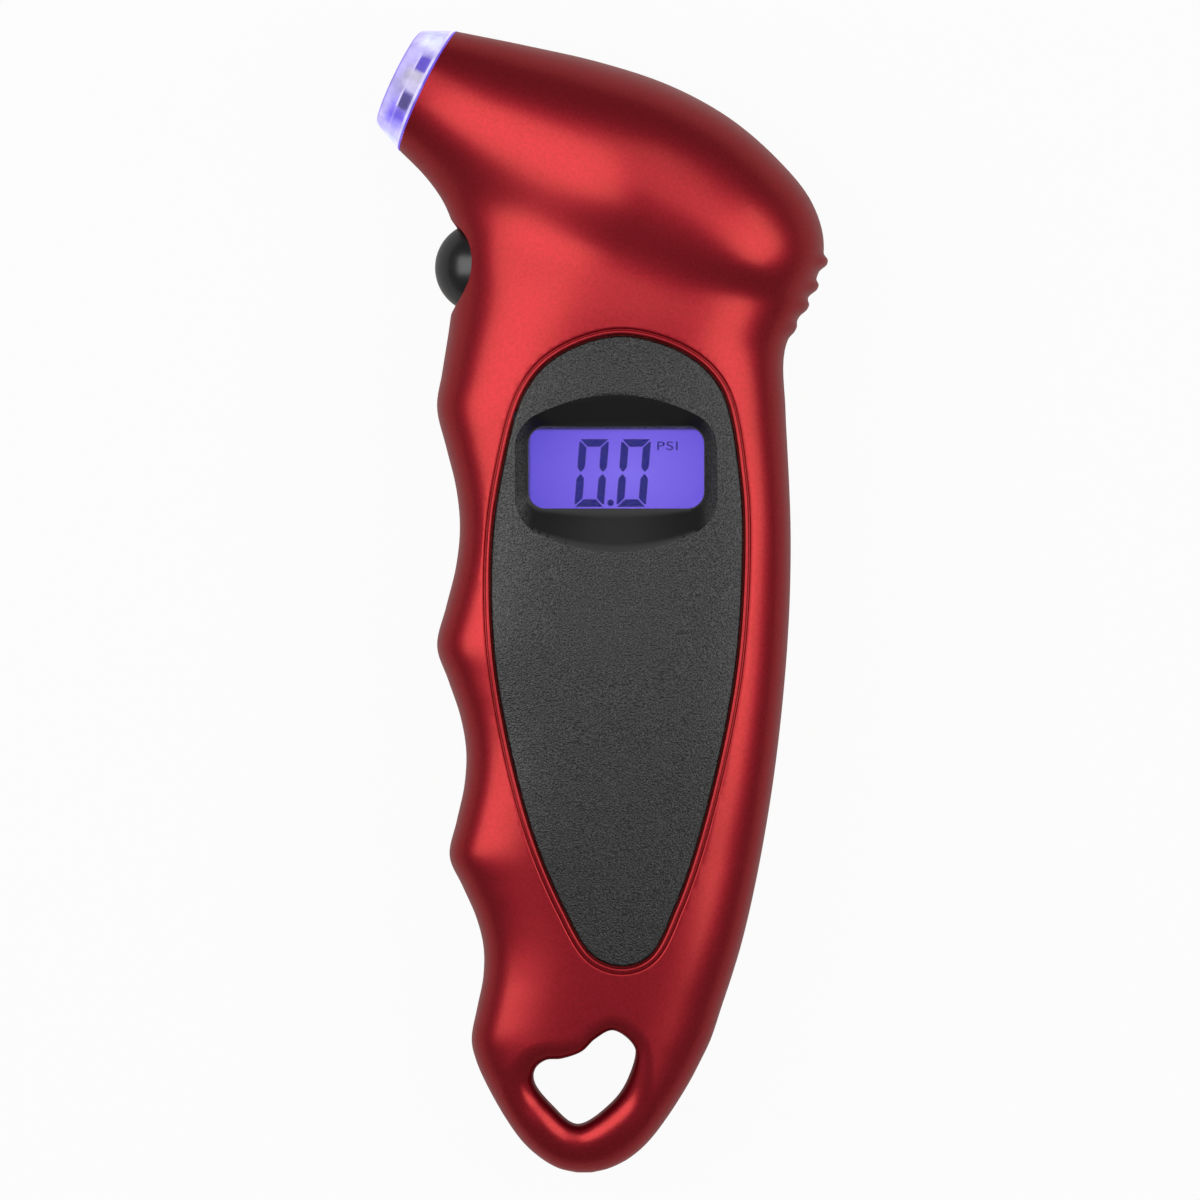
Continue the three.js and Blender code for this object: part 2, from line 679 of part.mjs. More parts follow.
function rearShell() {
  const skin = cut(outerSolid, cavitySolid);
  const bayX0 = bayX - bayHalf - bayWall;
  const bayX1 = bayX + bayHalf + bayWall;
  const coinBox = block(bayX0, bayX1, bayBottomY - bayWall, bayTopY + bayWall, 0.5, coinCeilingZ + bayWall);
  const cellBox = block(
    bayX0, bayX1, bayBottomY - bayWall, stackY + cellRadius + cellGap + bayWall, 0.5, cellCeilingZ + bayWall,
  );
  const bosses = caseScrews.map((place) => bar(
    'z', screwHeadRadius + bossWall, -far, partingZ - partingGap / 2, place, 16,
  ).intersect(outerSolid));
  const doorBosses = doorScrews.map((place) => bar(
    'z', doorScrewShankRadius + 1.6, 0.5, doorThick + doorScrewLength, place, 16,
  ));
  const whole = join(skin, coinBox, cellBox, neckRibs(), ...bosses, ...doorBosses, ...thumbRibSolids());
  const doorHeight = doorTopY - doorBottomY;
  const doorSeat = roundedLoop(doorCentre, doorWidth + 2 * doorGap, doorHeight + 2 * doorGap, doorCorner);
  return cut(
    whole,
    block(-far, far, -far, far, partingZ - partingGap / 2, far),
    prism(doorSeat, -1, doorThick),
    bar('z', coinPocketRadius, 0.5, coinCeilingZ, [bayX, coinY], 28),
    block(
      bayX - cellPocketHalf, bayX + cellPocketHalf,
      bayBottomY, stackY + cellRadius + cellGap, 0.5, cellCeilingZ,
    ),
    ...doorScrews.map((place) => bar(
      'z', doorScrewShankRadius + screwGap, 0, doorThick + doorScrewLength - 0.8, place, 12,
    )),
    ...caseScrews.map((place) => bar('z', screwHeadRadius + screwGap, -1, caseScrewSeatZ, place, 16)),
    ...caseScrews.map((place) => bar('z', screwShankRadius + screwGap, 0, far / 4, place, 12)),
    ...contactSlots(),
    ...sharedCutters(),
  );
}

// ---------------------------------------------------------------- display

function displayPanel() {
  const foot = barrelLoop(
    windowCentre, windowWidth + 2 * recessLedge, windowHeight + 2 * recessLedge, windowCorner, 0,
  );
  const rim = barrelLoop(recessCentre, recessWidth, recessHeight, recessCorner, recessBulge);
  const rimZ = faceZ - recessRimDrop;
  return cut(
    prism(panelOutline, pocketZ, far).intersect(outerSolid),
    loft([atHeight(foot, recessFloorZ), atHeight(rim, rimZ), atHeight(rim, far)]),
    prism(windowLoop(0), pocketZ - 1, far),
    prism(windowLoop(windowFlange), pocketZ - 1, pocketZ + windowThick + stackGap),
  );
}

// Outline of the window, grown on every side by a margin.
function windowLoop(margin) {
  return roundedLoop(windowCentre, windowWidth + 2 * margin, windowHeight + 2 * margin, windowCorner);
}

function displayWindow() {
  const flange = prism(windowLoop(windowFlange - windowGap), pocketZ, pocketZ + windowThick);
  const pad = prism(windowLoop(-windowGap), pocketZ + 0.1, recessFloorZ - windowSink);
  return join(flange, pad);
}

function plate([x, y], [width, height], z, thick, corner = 0.6) {
  return prism(roundedLoop([x, y], width, height, corner, 2), z, z + thick);
}

function lcdHolder() {
  const frame = plate(windowCentre, holderSize, guideZ, pocketRearZ - stackGap - guideZ, 1.2);
  const opening = plate(windowCentre, glassSize.map((size) => size + 2 * glassGap), guideZ - 1, far);
  return cut(frame, opening);
}

function backlightGuide() {
  const slab = plate(windowCentre, guideSize, guideZ, guideThick);
  const [x, y] = windowCentre;
  const notch = block(x - guideSize[0], x - guideSize[0] / 2 + 1.6, y - 1.4, y + 1.4, guideZ - 1, far);
  return cut(slab, notch);
}

function backlightLed() {
  const x = windowCentre[0] - guideSize[0] / 2;
  const y = windowCentre[1];
  return join(
    block(x, x + 1.3, y - 1.1, y + 1.1, guideZ, guideZ + 1.2),
    block(x + 0.2, x + 1.1, y - 0.8, y + 0.8, guideZ + 1.1, guideZ + 1.5),
  );
}

function contactStrip() {
  const [x, y] = windowCentre;
  const top = y + guideSize[1] / 2 + 0.1;
  return plate([x, top + 0.25], [guideSize[0] - 4, 0.5], guideZ, guideThick, 0.2);
}

// ---------------------------------------------------------------- board and what it carries

function mainBoard() {
  const centre = [boardLeftX + boardWidth / 2, (boardTopY + boardBottomY) / 2];
  return cut(
    plate(centre, [boardWidth, boardTopY - boardBottomY], boardRearZ, boardThick, 2),
    ...boardScrews.map((place) => bar('z', boardScrewShankRadius + screwGap, 0, far, place, 12)),
  );
}

function onBoardRear([x, y], [width, height, thick], corner = 0.4) {
  return plate([x, y], [width, height], boardRearZ - stackGap - thick, thick, corner);
}

function pressureSensor() {
  const axis = [sensorCentre[0], portZ];
  const body = onBoardRear(sensorCentre, sensorSize);
  const port = bar('y', barbRadius, sensorCentre[1], portTipY, axis, 16);
  const bore = bar('y', airHole, portTipY - portLength + 0.5, portTipY + 1, axis, 8);
  return cut(join(body, port), bore);
}

function pressureHose() {
  const nosePoint = (place) => new THREE.Vector3(0, place, 0).applyMatrix4(noseMatrix).toArray();
  const path = [
    nosePoint(inletEndPlace - 0.4),
    nosePoint(inletEndPlace - barbLength - 1),
    [...hoseBend[0], partingZ],
    [...hoseBend[1], portZ + 0.3],
    [sensorCentre[0], portTipY + 0.6, portZ],
    [sensorCentre[0], portTipY - portLength + 0.4, portZ],
  ];
  return tube(path, hoseRadius, hoseBore, 4, 12);
}

function controllerBlob() {
  const shares = [[0, 0], [1, 0], [0.91, 0.47], [0.57, 0.87], [0, 1]];
  const profile = shares.map(([r, h]) => new THREE.Vector2(r * blobRadius, h * blobHeight));
  const dome = new THREE.LatheGeometry(profile, 16);
  dome.rotateX(-Math.PI / 2).translate(...blobPlace, boardRearZ - stackGap);
  const solid = solidOf(dome);
  return solid.volume() < 0 ? solidOf(flipped(dome)) : solid;
}

function tactSwitch() {
  const faceX = switchFaceX();
  const [length, width] = switchSize;
  const body = block(
    faceX, faceX + length, buttonY - width / 2, buttonY + width / 2, partingZ - 2, boardRearZ - stackGap,
  );
  return cut(body, bar('x', buttonStemRadius + 0.2, faceX - 1, faceX + 2, [buttonY, partingZ], 16));
}

function switchFaceX() {
  return buttonDomeX + buttonSkirt + buttonStem + 0.1 + buttonTravel + 0.5;
}

function switchPlunger() {
  const from = buttonDomeX + buttonSkirt + buttonStem + 0.1;
  return bar('x', buttonStemRadius, from, switchFaceX() + 1, [buttonY, partingZ], 16);
}

// Glossy dome with a skirt, two lugs that keep it in the body, and a stem to the switch.
function buttonCap() {
  const profile = [[0, 0], [buttonRadius, 0]];
  const steps = 6;
  for (let i = 0; i <= steps; i += 1) {
    const angle = Math.PI / 2 * i / steps;
    profile.push([buttonRadius * Math.cos(angle), buttonSkirt + buttonRadius * Math.sin(angle)]);
  }
  profile[profile.length - 1][0] = 0;
  const dome = new THREE.LatheGeometry(profile.map(([r, h]) => new THREE.Vector2(r, h)), 24);
  dome.rotateZ(Math.PI / 2).translate(buttonDomeX + buttonSkirt, buttonY, partingZ);
  const solid = solidOf(dome);
  const lugX = buttonDomeX + buttonSkirt;
  return join(
    solid.volume() < 0 ? solidOf(flipped(dome)) : solid,
    block(
      lugX - 0.1, lugX + 1.1, buttonY - buttonLugReach, buttonY + buttonLugReach,
      partingZ - buttonLugHeight / 2, partingZ + buttonLugHeight / 2,
    ),
    bar('x', buttonStemRadius, lugX - 0.2, lugX + buttonStem, [buttonY, partingZ], 16),
  );
}

function ledWire(offset, points) {
  const start = [ledTip - ledLength - inletGap, ledTip - ledLength - 4].map((place, i) => (
    new THREE.Vector3(offset * (1 - 0.08 * i), place, 0).applyMatrix4(noseMatrix).toArray()
  ));
  return tube([...start, ...points], wireRadius, 0, 2, 16);
}

// ---------------------------------------------------------------- nose fittings, on the nose axis

function clearCollar() {
  const round = 0.5;
  const body = turned([
    [inletRadius + inletGap, collarLength], [collarTipRadius - round, collarLength],
    [collarTipRadius, collarLength - round], [noseRadius, inletGap / 3], [collarSpigotRadius, inletGap / 3],
    [collarSpigotRadius, -collarSpigotLength], [inletRadius + inletGap, -collarSpigotLength],
  ], 24);
  const pockets = ledOffsets.map((offset) => noseRod(
    ledRadius + inletGap, -collarSpigotLength - 1, ledTip + inletGap, offset,
  ));
  return cut(body, ...pockets);
}

function valveInlet() {
  const shoulderRadius = inletRadius + inletShoulder;
  const shoulderEnd = shoulderPlace - shoulderThick;
  const barbEnd = inletEndPlace - barbLength;
  return turned([
    [mouthRadius, mouthTipPlace], [inletRadius, mouthTipPlace], [inletRadius, shoulderPlace],
    [shoulderRadius, shoulderPlace], [shoulderRadius, shoulderEnd], [inletRadius, shoulderEnd],
    [inletRadius, inletEndPlace], [barbRadius, inletEndPlace], [barbRadius, barbEnd],
    [airHole, barbEnd], [airHole, inletFloorPlace], [mouthRadius, inletFloorPlace],
  ]);
}

function valveSeal() {
  const radius = mouthRadius - inletGap;
  const foot = sealPlace - sealThick;
  return turned([[sealHole, sealPlace], [radius, sealPlace], [radius, foot], [sealHole, foot]]);
}

function depressorPin() {
  const tip = pinFlangePlace - pinFlangeThick + pinLength;
  const radius = mouthRadius - inletGap;
  const flange = pinFlangePlace - pinFlangeThick;
  const body = turned([
    [0, flange], [radius, flange], [radius, pinFlangePlace], [pinRadius, pinFlangePlace],
    [pinRadius, tip - 0.4], [pinRadius - 0.4, tip], [0, tip],
  ]);
  const holes = [0, 1, 2].map((i) => {
    const angle = 2 * Math.PI * i / 3;
    const place = [1.75 * Math.cos(angle), 1.75 * Math.sin(angle)];
    return bar('y', airHole / 2 + 0.15, flange - 1, pinFlangePlace + 1, place, 8);
  });
  return cut(body, ...holes);
}

function noseLed(offset) {
  const profile = [[0, ledTip - ledLength], [ledRadius, ledTip - ledLength]];
  for (let i = 0; i <= 4; i += 1) {
    const angle = Math.PI / 2 * i / 4;
    profile.push([ledRadius * Math.cos(angle), ledTip - ledRadius + ledRadius * Math.sin(angle)]);
  }
  profile[profile.length - 1][0] = 0;
  const geometry = geometryOf(turned(profile, 12));
  return solidOf(geometry.translate(offset, 0, 0));
}

// ---------------------------------------------------------------- batteries and door

function batteryDoor() {
  const height = doorTopY - doorBottomY;
  const outline = roundedLoop(doorCentre, doorWidth, height, doorCorner - doorGap);
  const lid = prism(outline, 0, doorThick - stackGap);
  return cut(
    lid,
    ...doorScrews.map((place) => bar('z', doorScrewShankRadius + screwGap, -1, far, place, 12)),
    ...doorScrews.map((place) => bar('z', doorScrewHeadRadius + screwGap, -1, doorScrewSeatZ, place, 16)),
  );
}

function coinCell() {
  const can = bar('z', coinRadius, coinZ, coinZ + 0.72 * coinThick, [bayX, coinY], 28);
  const cap = bar('z', coinRadius - 1.2, coinZ + 0.7 * coinThick, coinZ + coinThick, [bayX, coinY], 28);
  return join(can, cap);
}

function buttonCell(i) {
  const from = bayX - cellsLength / 2 + i * (cellLength + cellGap);
  const place = [stackY, cellZ];
  return join(
    bar('x', cellRadius, from, from + 0.8 * cellLength, place),
    bar('x', cellRadius - 0.9, from + 0.75 * cellLength, from + cellLength, place),
  );
}

// Slots in the bay's ceiling for the tails of the contact strips.
function contactSlots() {
  return contactTails().map(([x, y]) => block(x - 1.2, x + 1.2, y - 0.45, y + 0.45, coinZ, far));
}

function contactTails() {
  const cellX = cellsLength / 2 + contactThick / 2 + cellGap;
  return [
    [bayX - 4, coinY + coinRadius - 1.6],
    [bayX + 4, coinY + coinRadius - 1.6],
    [bayX - cellX, stackY],
    [bayX + cellX, stackY],
  ];
}

function coinContact(i) {
  const [x, y] = contactTails()[i];
  const z = coinZ + coinThick + cellGap;
  const side = i === 0 ? -1 : 1;
  const inner = bayX + side;
  const leaf = block(
    Math.min(x - 1, inner), Math.max(x + 1, inner), coinY - 5, y + 0.2, z, z + contactThick,
  );
  return join(leaf, block(x - 1, x + 1, y - 0.2, y + 0.2, z, boardRearZ - stackGap));
}

function cellContact(i) {
  const [x, y] = contactTails()[i];
  const half = contactThick / 2;
  const strip = block(x - half, x + half, y - 3.4, y + 3.4, cellZ - 3.4, cellZ + 4.4);
  return join(strip, block(x - half, x + half, y - 0.35, y + 0.35, cellZ + 4, boardRearZ - stackGap));
}

// ---------------------------------------------------------------- screws

// Pan-head screw pointing to +Z, with a cross recess.
function panScrew([x, y], seatZ, { headRadius, headThick, shankRadius, length }) {
  const steps = 10;
  const profile = [
    [0, -headThick], [headRadius * 0.7, -headThick], [headRadius, -headThick * 0.45], [headRadius, 0],
    [shankRadius, 0], [shankRadius, length - shankRadius], [0, length],
  ];
  const geometry = new THREE.LatheGeometry(profile.map(([r, h]) => new THREE.Vector2(r, h)), steps);
  geometry.rotateX(Math.PI / 2).translate(x, y, seatZ);
  const solid = solidOf(geometry);
  const body = solid.volume() < 0 ? solidOf(flipped(geometry)) : solid;
  const arm = headRadius * 0.55;
  const slot = headRadius * 0.14;
  const deep = headThick * 0.55;
  return cut(
    body,
    block(x - arm, x + arm, y - slot, y + slot, seatZ - headThick - 1, seatZ - headThick + deep),
    block(x - slot, x + slot, y - arm, y + arm, seatZ - headThick - 1, seatZ - headThick + deep),
  );
}

// ---------------------------------------------------------------- materials

const finishes = {
  redPaint: { color: '#b3242c', roughness: 0.32, metalness: 0.75 },
  panelPlastic: { color: '#353535', roughness: 0.6, metalness: 0 },
  windowClear: { color: '#6f5de6', roughness: 0.08, metalness: 0 },
  buttonGloss: { color: '#1b1a1a', roughness: 0.12, metalness: 0 },
  clearAcrylic: { color: '#d6d0f5', roughness: 0.1, metalness: 0 },
  nickel: { color: '#c9c8c2', roughness: 0.3, metalness: 1 },
  brass: { color: '#b9975b', roughness: 0.35, metalness: 1 },
  rubber: { color: '#1c1c1c', roughness: 0.85, metalness: 0 },
  silicone: { color: '#d9d6cf', roughness: 0.6, metalness: 0 },
  screwSteel: { color: '#8d9094', roughness: 0.35, metalness: 1 },
  boardGreen: { color: '#1f5a37', roughness: 0.5, metalness: 0 },
  lcdGlass: { color: '#8f84e8', roughness: 0.1, metalness: 0 },
  whitePlastic: { color: '#e6e6e2', roughness: 0.5, metalness: 0 },
  blackPlastic: { color: '#222222', roughness: 0.5, metalness: 0 },
  epoxy: { color: '#161616', roughness: 0.3, metalness: 0 },
  ledClear: { color: '#cfc8ff', roughness: 0.1, metalness: 0 },
  wireRed: { color: '#a8201f', roughness: 0.5, metalness: 0 },
};

// ---------------------------------------------------------------- assembly

const gauge = new THREE.Group();
const noseGroup = new THREE.Group();
noseGroup.position.set(...noseCentre, partingZ);
noseGroup.rotation.z = noseTilt;
gauge.add(noseGroup);

function add(name, solid, finish, group = gauge) {
  const material = new THREE.MeshStandardMaterial(finishes[finish]);
  const mesh = new THREE.Mesh(geometryOf(solid), material);
  mesh.name = name;
  group.add(mesh);
}

add('front_shell', frontShell(), 'redPaint');
add('rear_shell', rearShell(), 'redPaint');
add('display_panel', displayPanel(), 'panelPlastic');
add('display_window', displayWindow(), 'windowClear');
add('lcd_glass', plate(windowCentre, glassSize, glassZ, glassThick), 'lcdGlass');
add('lcd_holder', lcdHolder(), 'whitePlastic');
add('backlight_guide', backlightGuide(), 'clearAcrylic');
add('backlight_led', backlightLed(), 'ledClear');
add('lcd_contact_strip', contactStrip(), 'rubber');
add('main_board', mainBoard(), 'boardGreen');
add('controller_blob', controllerBlob(), 'epoxy');
add('crystal_can', onBoardRear(crystalPlace, crystalSize, 1.4), 'nickel');
add('power_capacitor', onBoardRear(powerCapacitorPlace, powerCapacitorSize, 2), 'blackPlastic');
add('filter_capacitor', onBoardRear(filterCapacitorPlace, filterCapacitorSize), 'brass');
add('pressure_sensor', pressureSensor(), 'blackPlastic');
add('pressure_hose', pressureHose(), 'silicone');
add('button_cap', buttonCap(), 'buttonGloss');
add('switch_plunger', switchPlunger(), 'blackPlastic');
add('tact_switch', tactSwitch(), 'nickel');
add('nozzle_collar', clearCollar(), 'clearAcrylic', noseGroup);
add('valve_inlet', valveInlet(), 'nickel', noseGroup);
add('valve_seal', valveSeal(), 'rubber', noseGroup);
add('depressor_pin', depressorPin(), 'brass', noseGroup);
ledOffsets.forEach((offset, i) => add(`nozzle_led_${i + 1}`, noseLed(offset), 'ledClear', noseGroup));
ledOffsets.forEach((offset, i) => add(`led_wire_${i + 1}`, ledWire(offset, wireRoutes[i]), 'wireRed'));
add('battery_door', batteryDoor(), 'redPaint');
add('coin_cell', coinCell(), 'nickel');
for (let i = 0; i < cellCount; i += 1) add(`button_cell_${i + 1}`, buttonCell(i), 'nickel');
add('coin_contact_minus', coinContact(0), 'nickel');
add('coin_contact_plus', coinContact(1), 'nickel');
add('cell_contact_minus', cellContact(2), 'nickel');
add('cell_contact_plus', cellContact(3), 'nickel');

const screwSets = [
  ['case_screw', caseScrews, caseScrewSeatZ, {
    headRadius: screwHeadRadius, headThick: screwHeadThick,
    shankRadius: screwShankRadius, length: caseScrewLength,
  }],
  ['board_screw', boardScrews, boardRearZ, {
    headRadius: boardScrewHeadRadius, headThick: boardScrewHeadThick,
    shankRadius: boardScrewShankRadius, length: boardScrewLength,
  }],
  ['battery_door_screw', doorScrews, doorScrewSeatZ, {
    headRadius: doorScrewHeadRadius, headThick: doorScrewHeadThick,
    shankRadius: doorScrewShankRadius, length: doorScrewLength,
  }],
];
for (const [name, places, seatZ, sizes] of screwSets) {
  places.forEach((place, i) => {
    add(`${name}_${i + 1}`, panScrew(place, seatZ - seatGap, sizes), 'screwSteel');
  });
}

// The origin is the middle of the footprint, on the surface that the gauge lies on.
const box = new THREE.Box3().setFromObject(gauge, true);
gauge.position.set(-(box.min.x + box.max.x) / 2, -(box.min.y + box.max.y) / 2, -box.min.z);

export default gauge;
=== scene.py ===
# Pistol-shaped digital tyre pressure gauge, lying on its flat back with the display up.
import math
import bpy
import numpy as np
from mathutils import Matrix, Vector


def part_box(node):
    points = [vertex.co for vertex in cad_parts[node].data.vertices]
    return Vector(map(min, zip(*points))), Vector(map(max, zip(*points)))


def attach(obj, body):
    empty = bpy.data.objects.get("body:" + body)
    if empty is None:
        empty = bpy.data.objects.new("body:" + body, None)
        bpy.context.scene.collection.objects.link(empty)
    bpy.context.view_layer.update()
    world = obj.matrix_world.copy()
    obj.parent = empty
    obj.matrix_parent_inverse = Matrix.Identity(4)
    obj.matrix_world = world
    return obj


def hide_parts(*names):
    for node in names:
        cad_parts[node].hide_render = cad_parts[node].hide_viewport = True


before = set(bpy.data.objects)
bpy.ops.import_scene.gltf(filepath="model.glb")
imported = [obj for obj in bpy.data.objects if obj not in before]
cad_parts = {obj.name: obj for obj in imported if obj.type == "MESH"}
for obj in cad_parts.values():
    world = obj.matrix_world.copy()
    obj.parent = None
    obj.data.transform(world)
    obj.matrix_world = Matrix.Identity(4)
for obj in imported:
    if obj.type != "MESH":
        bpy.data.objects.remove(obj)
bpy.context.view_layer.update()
mm = 0.001

# The drawing is in millimetres about the middle of the grip; the display window ties it to the frame.
windowPlan = (2.2, 17.85)
windowSize = (23.7, 11.0)
windowLow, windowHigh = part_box("display_window")
windowMiddle = (windowLow + windowHigh) / 2
shift = Vector((windowMiddle.x - windowPlan[0] * mm, windowMiddle.y - windowPlan[1] * mm, 0.0))


def at(x, y, z=0.0):
    return Vector((x, y, z)) * mm + shift


view = {
    "lens": 400.0,          # mm; far enough away that the body is seen almost square on
    "sensor": 36.0,         # mm
    "frameWidth": 162.88,   # mm of the joint plane that the square picture spans
    "planeZ": 15.0,         # height of the joint plane
}


def placeCamera():
    data = bpy.data.cameras.new("camera")
    data.lens = view["lens"]
    data.sensor_width = view["sensor"]
    distance = view["lens"] * view["frameWidth"] / view["sensor"]
    camera = bpy.data.objects.new("camera", data)
    camera.location = at(0, 0, view["planeZ"] + distance)
    bpy.context.scene.collection.objects.link(camera)
    bpy.context.scene.camera = camera


placeCamera()
print("camera placed")


# sRGB hex to the linear colour that sockets take
def paint(hexCode):
    parts = [int(hexCode[i:i + 2], 16) / 255 for i in (1, 3, 5)]
    linear = [c / 12.92 if c <= 0.04045 else ((c + 0.055) / 1.055) ** 2.4 for c in parts]
    return (*linear, 1.0)


# Adds a shader node, sets it up and links whatever comes from another node. A colour ramp also
# gets its stops, as (place, hex colour).
def addNode(tree, kind, settings=None, inputs=None, stops=()):
    node = tree.nodes.new(kind)
    for name, value in (settings or {}).items():
        setattr(node, name, value)
    for name, value in (inputs or {}).items():
        if isinstance(value, bpy.types.NodeSocket):
            tree.links.new(value, node.inputs[name])
        else:
            node.inputs[name].default_value = value
    for i, (place, colour) in enumerate(stops):
        elements = node.color_ramp.elements
        element = elements[i] if i < len(elements) else elements.new(place)
        element.position = place
        element.color = paint(colour)
    return node


def newMaterial(name):
    material = bpy.data.materials.new(name)
    material.use_nodes = True
    material.node_tree.nodes.clear()
    return material, material.node_tree


# Scale of a noise whose grains are about this many millimetres across
def grainScale(size):
    return 1 / (size * mm)


studio = {
    "floorSize": 1.6,        # metres
    "floorDrop": 0.2,        # mm below the part, so that the two never share a face
    "floorColour": "#c2c1c0",
    "floorLift": 0.95,       # how much of the floor's white the picture gets whatever falls on it
    "glossLift": 0.1,        # and how much of that the gloss of the object sees
    "worldColour": "#ffffff",
    "worldStrength": 0.21,
    "aim": (0, 5, 20),       # mm, where the soft boxes point
    # direction of each soft box from there, its distance, width and height in metres, its turn
    # about its own axis in degrees and how bright its face is
    "lamps": [
        ("lamp_left", (-0.60, 0.14, 0.79), 0.60, (0.53, 0.46), 0, 2.5),
        ("lamp_right", (0.66, 0.02, 0.75), 0.72, (0.66, 0.32), 50, 2.6),
        ("lamp_middle", (0.14, 0.33, 0.93), 0.52, (0.44, 0.36), 0, 1.05),
    ],
}


def makeFloor():
    bpy.ops.object.select_all(action="DESELECT")
    bpy.ops.mesh.primitive_plane_add(size=studio["floorSize"], location=(0, 0, -studio["floorDrop"] * mm))
    floor = bpy.context.object
    floor.name = "floor"
    material, tree = newMaterial("matte_paper_sweep")
    rays = addNode(tree, "ShaderNodeLightPath")
    gloss = addNode(tree, "ShaderNodeMath", {"operation": "MULTIPLY"},
                    {0: rays.outputs["Is Glossy Ray"], 1: studio["glossLift"]})
    seen = addNode(tree, "ShaderNodeMath", {"operation": "MAXIMUM"},
                   {0: rays.outputs["Is Camera Ray"], 1: gloss.outputs[0]})
    seen = addNode(tree, "ShaderNodeMath", {"operation": "MAXIMUM"},
                   {0: seen.outputs[0], 1: rays.outputs["Is Transmission Ray"]})
    share = addNode(tree, "ShaderNodeMath", {"operation": "MULTIPLY"},
                    {0: seen.outputs[0], 1: studio["floorLift"]})
    paper = addNode(tree, "ShaderNodeBsdfDiffuse", None, {"Color": paint(studio["floorColour"])})
    white = addNode(tree, "ShaderNodeEmission", None, {"Color": (1, 1, 1, 1), "Strength": 1.0})
    mix = addNode(tree, "ShaderNodeMixShader", None,
                  {0: share.outputs[0], 1: paper.outputs[0], 2: white.outputs[0]})
    addNode(tree, "ShaderNodeOutputMaterial", None, {"Surface": mix.outputs[0]})
    floor.data.materials.append(material)


def makeLamps():
    aim = at(*studio["aim"])
    for name, direction, distance, (width, height), turn, brightness in studio["lamps"]:
        data = bpy.data.lights.new(name, "AREA")
        data.shape = "RECTANGLE"
        data.size = width
        data.size_y = height
        data.energy = brightness * math.pi * width * height
        lamp = bpy.data.objects.new(name, data)
        towards = Vector(direction).normalized()
        lamp.location = aim + towards * distance
        across = Vector((0, 1, 0)).cross(towards).normalized()
        facing = Matrix((across, towards.cross(across), towards)).transposed()
        lamp.rotation_euler = (facing @ Matrix.Rotation(math.radians(turn), 3, "Z")).to_euler()
        lamp.visible_camera = False
        bpy.context.scene.collection.objects.link(lamp)
    world = bpy.data.worlds.new("studio")
    world.use_nodes = True
    world.node_tree.nodes.clear()
    glow = addNode(world.node_tree, "ShaderNodeBackground", None,
                   {"Color": paint(studio["worldColour"]), "Strength": studio["worldStrength"]})
    addNode(world.node_tree, "ShaderNodeOutputWorld", None, {"Surface": glow.outputs[0]})
    bpy.context.scene.world = world
    bpy.context.scene.view_settings.view_transform = "Standard"


makeFloor()
makeLamps()
print("floor and lamps placed")


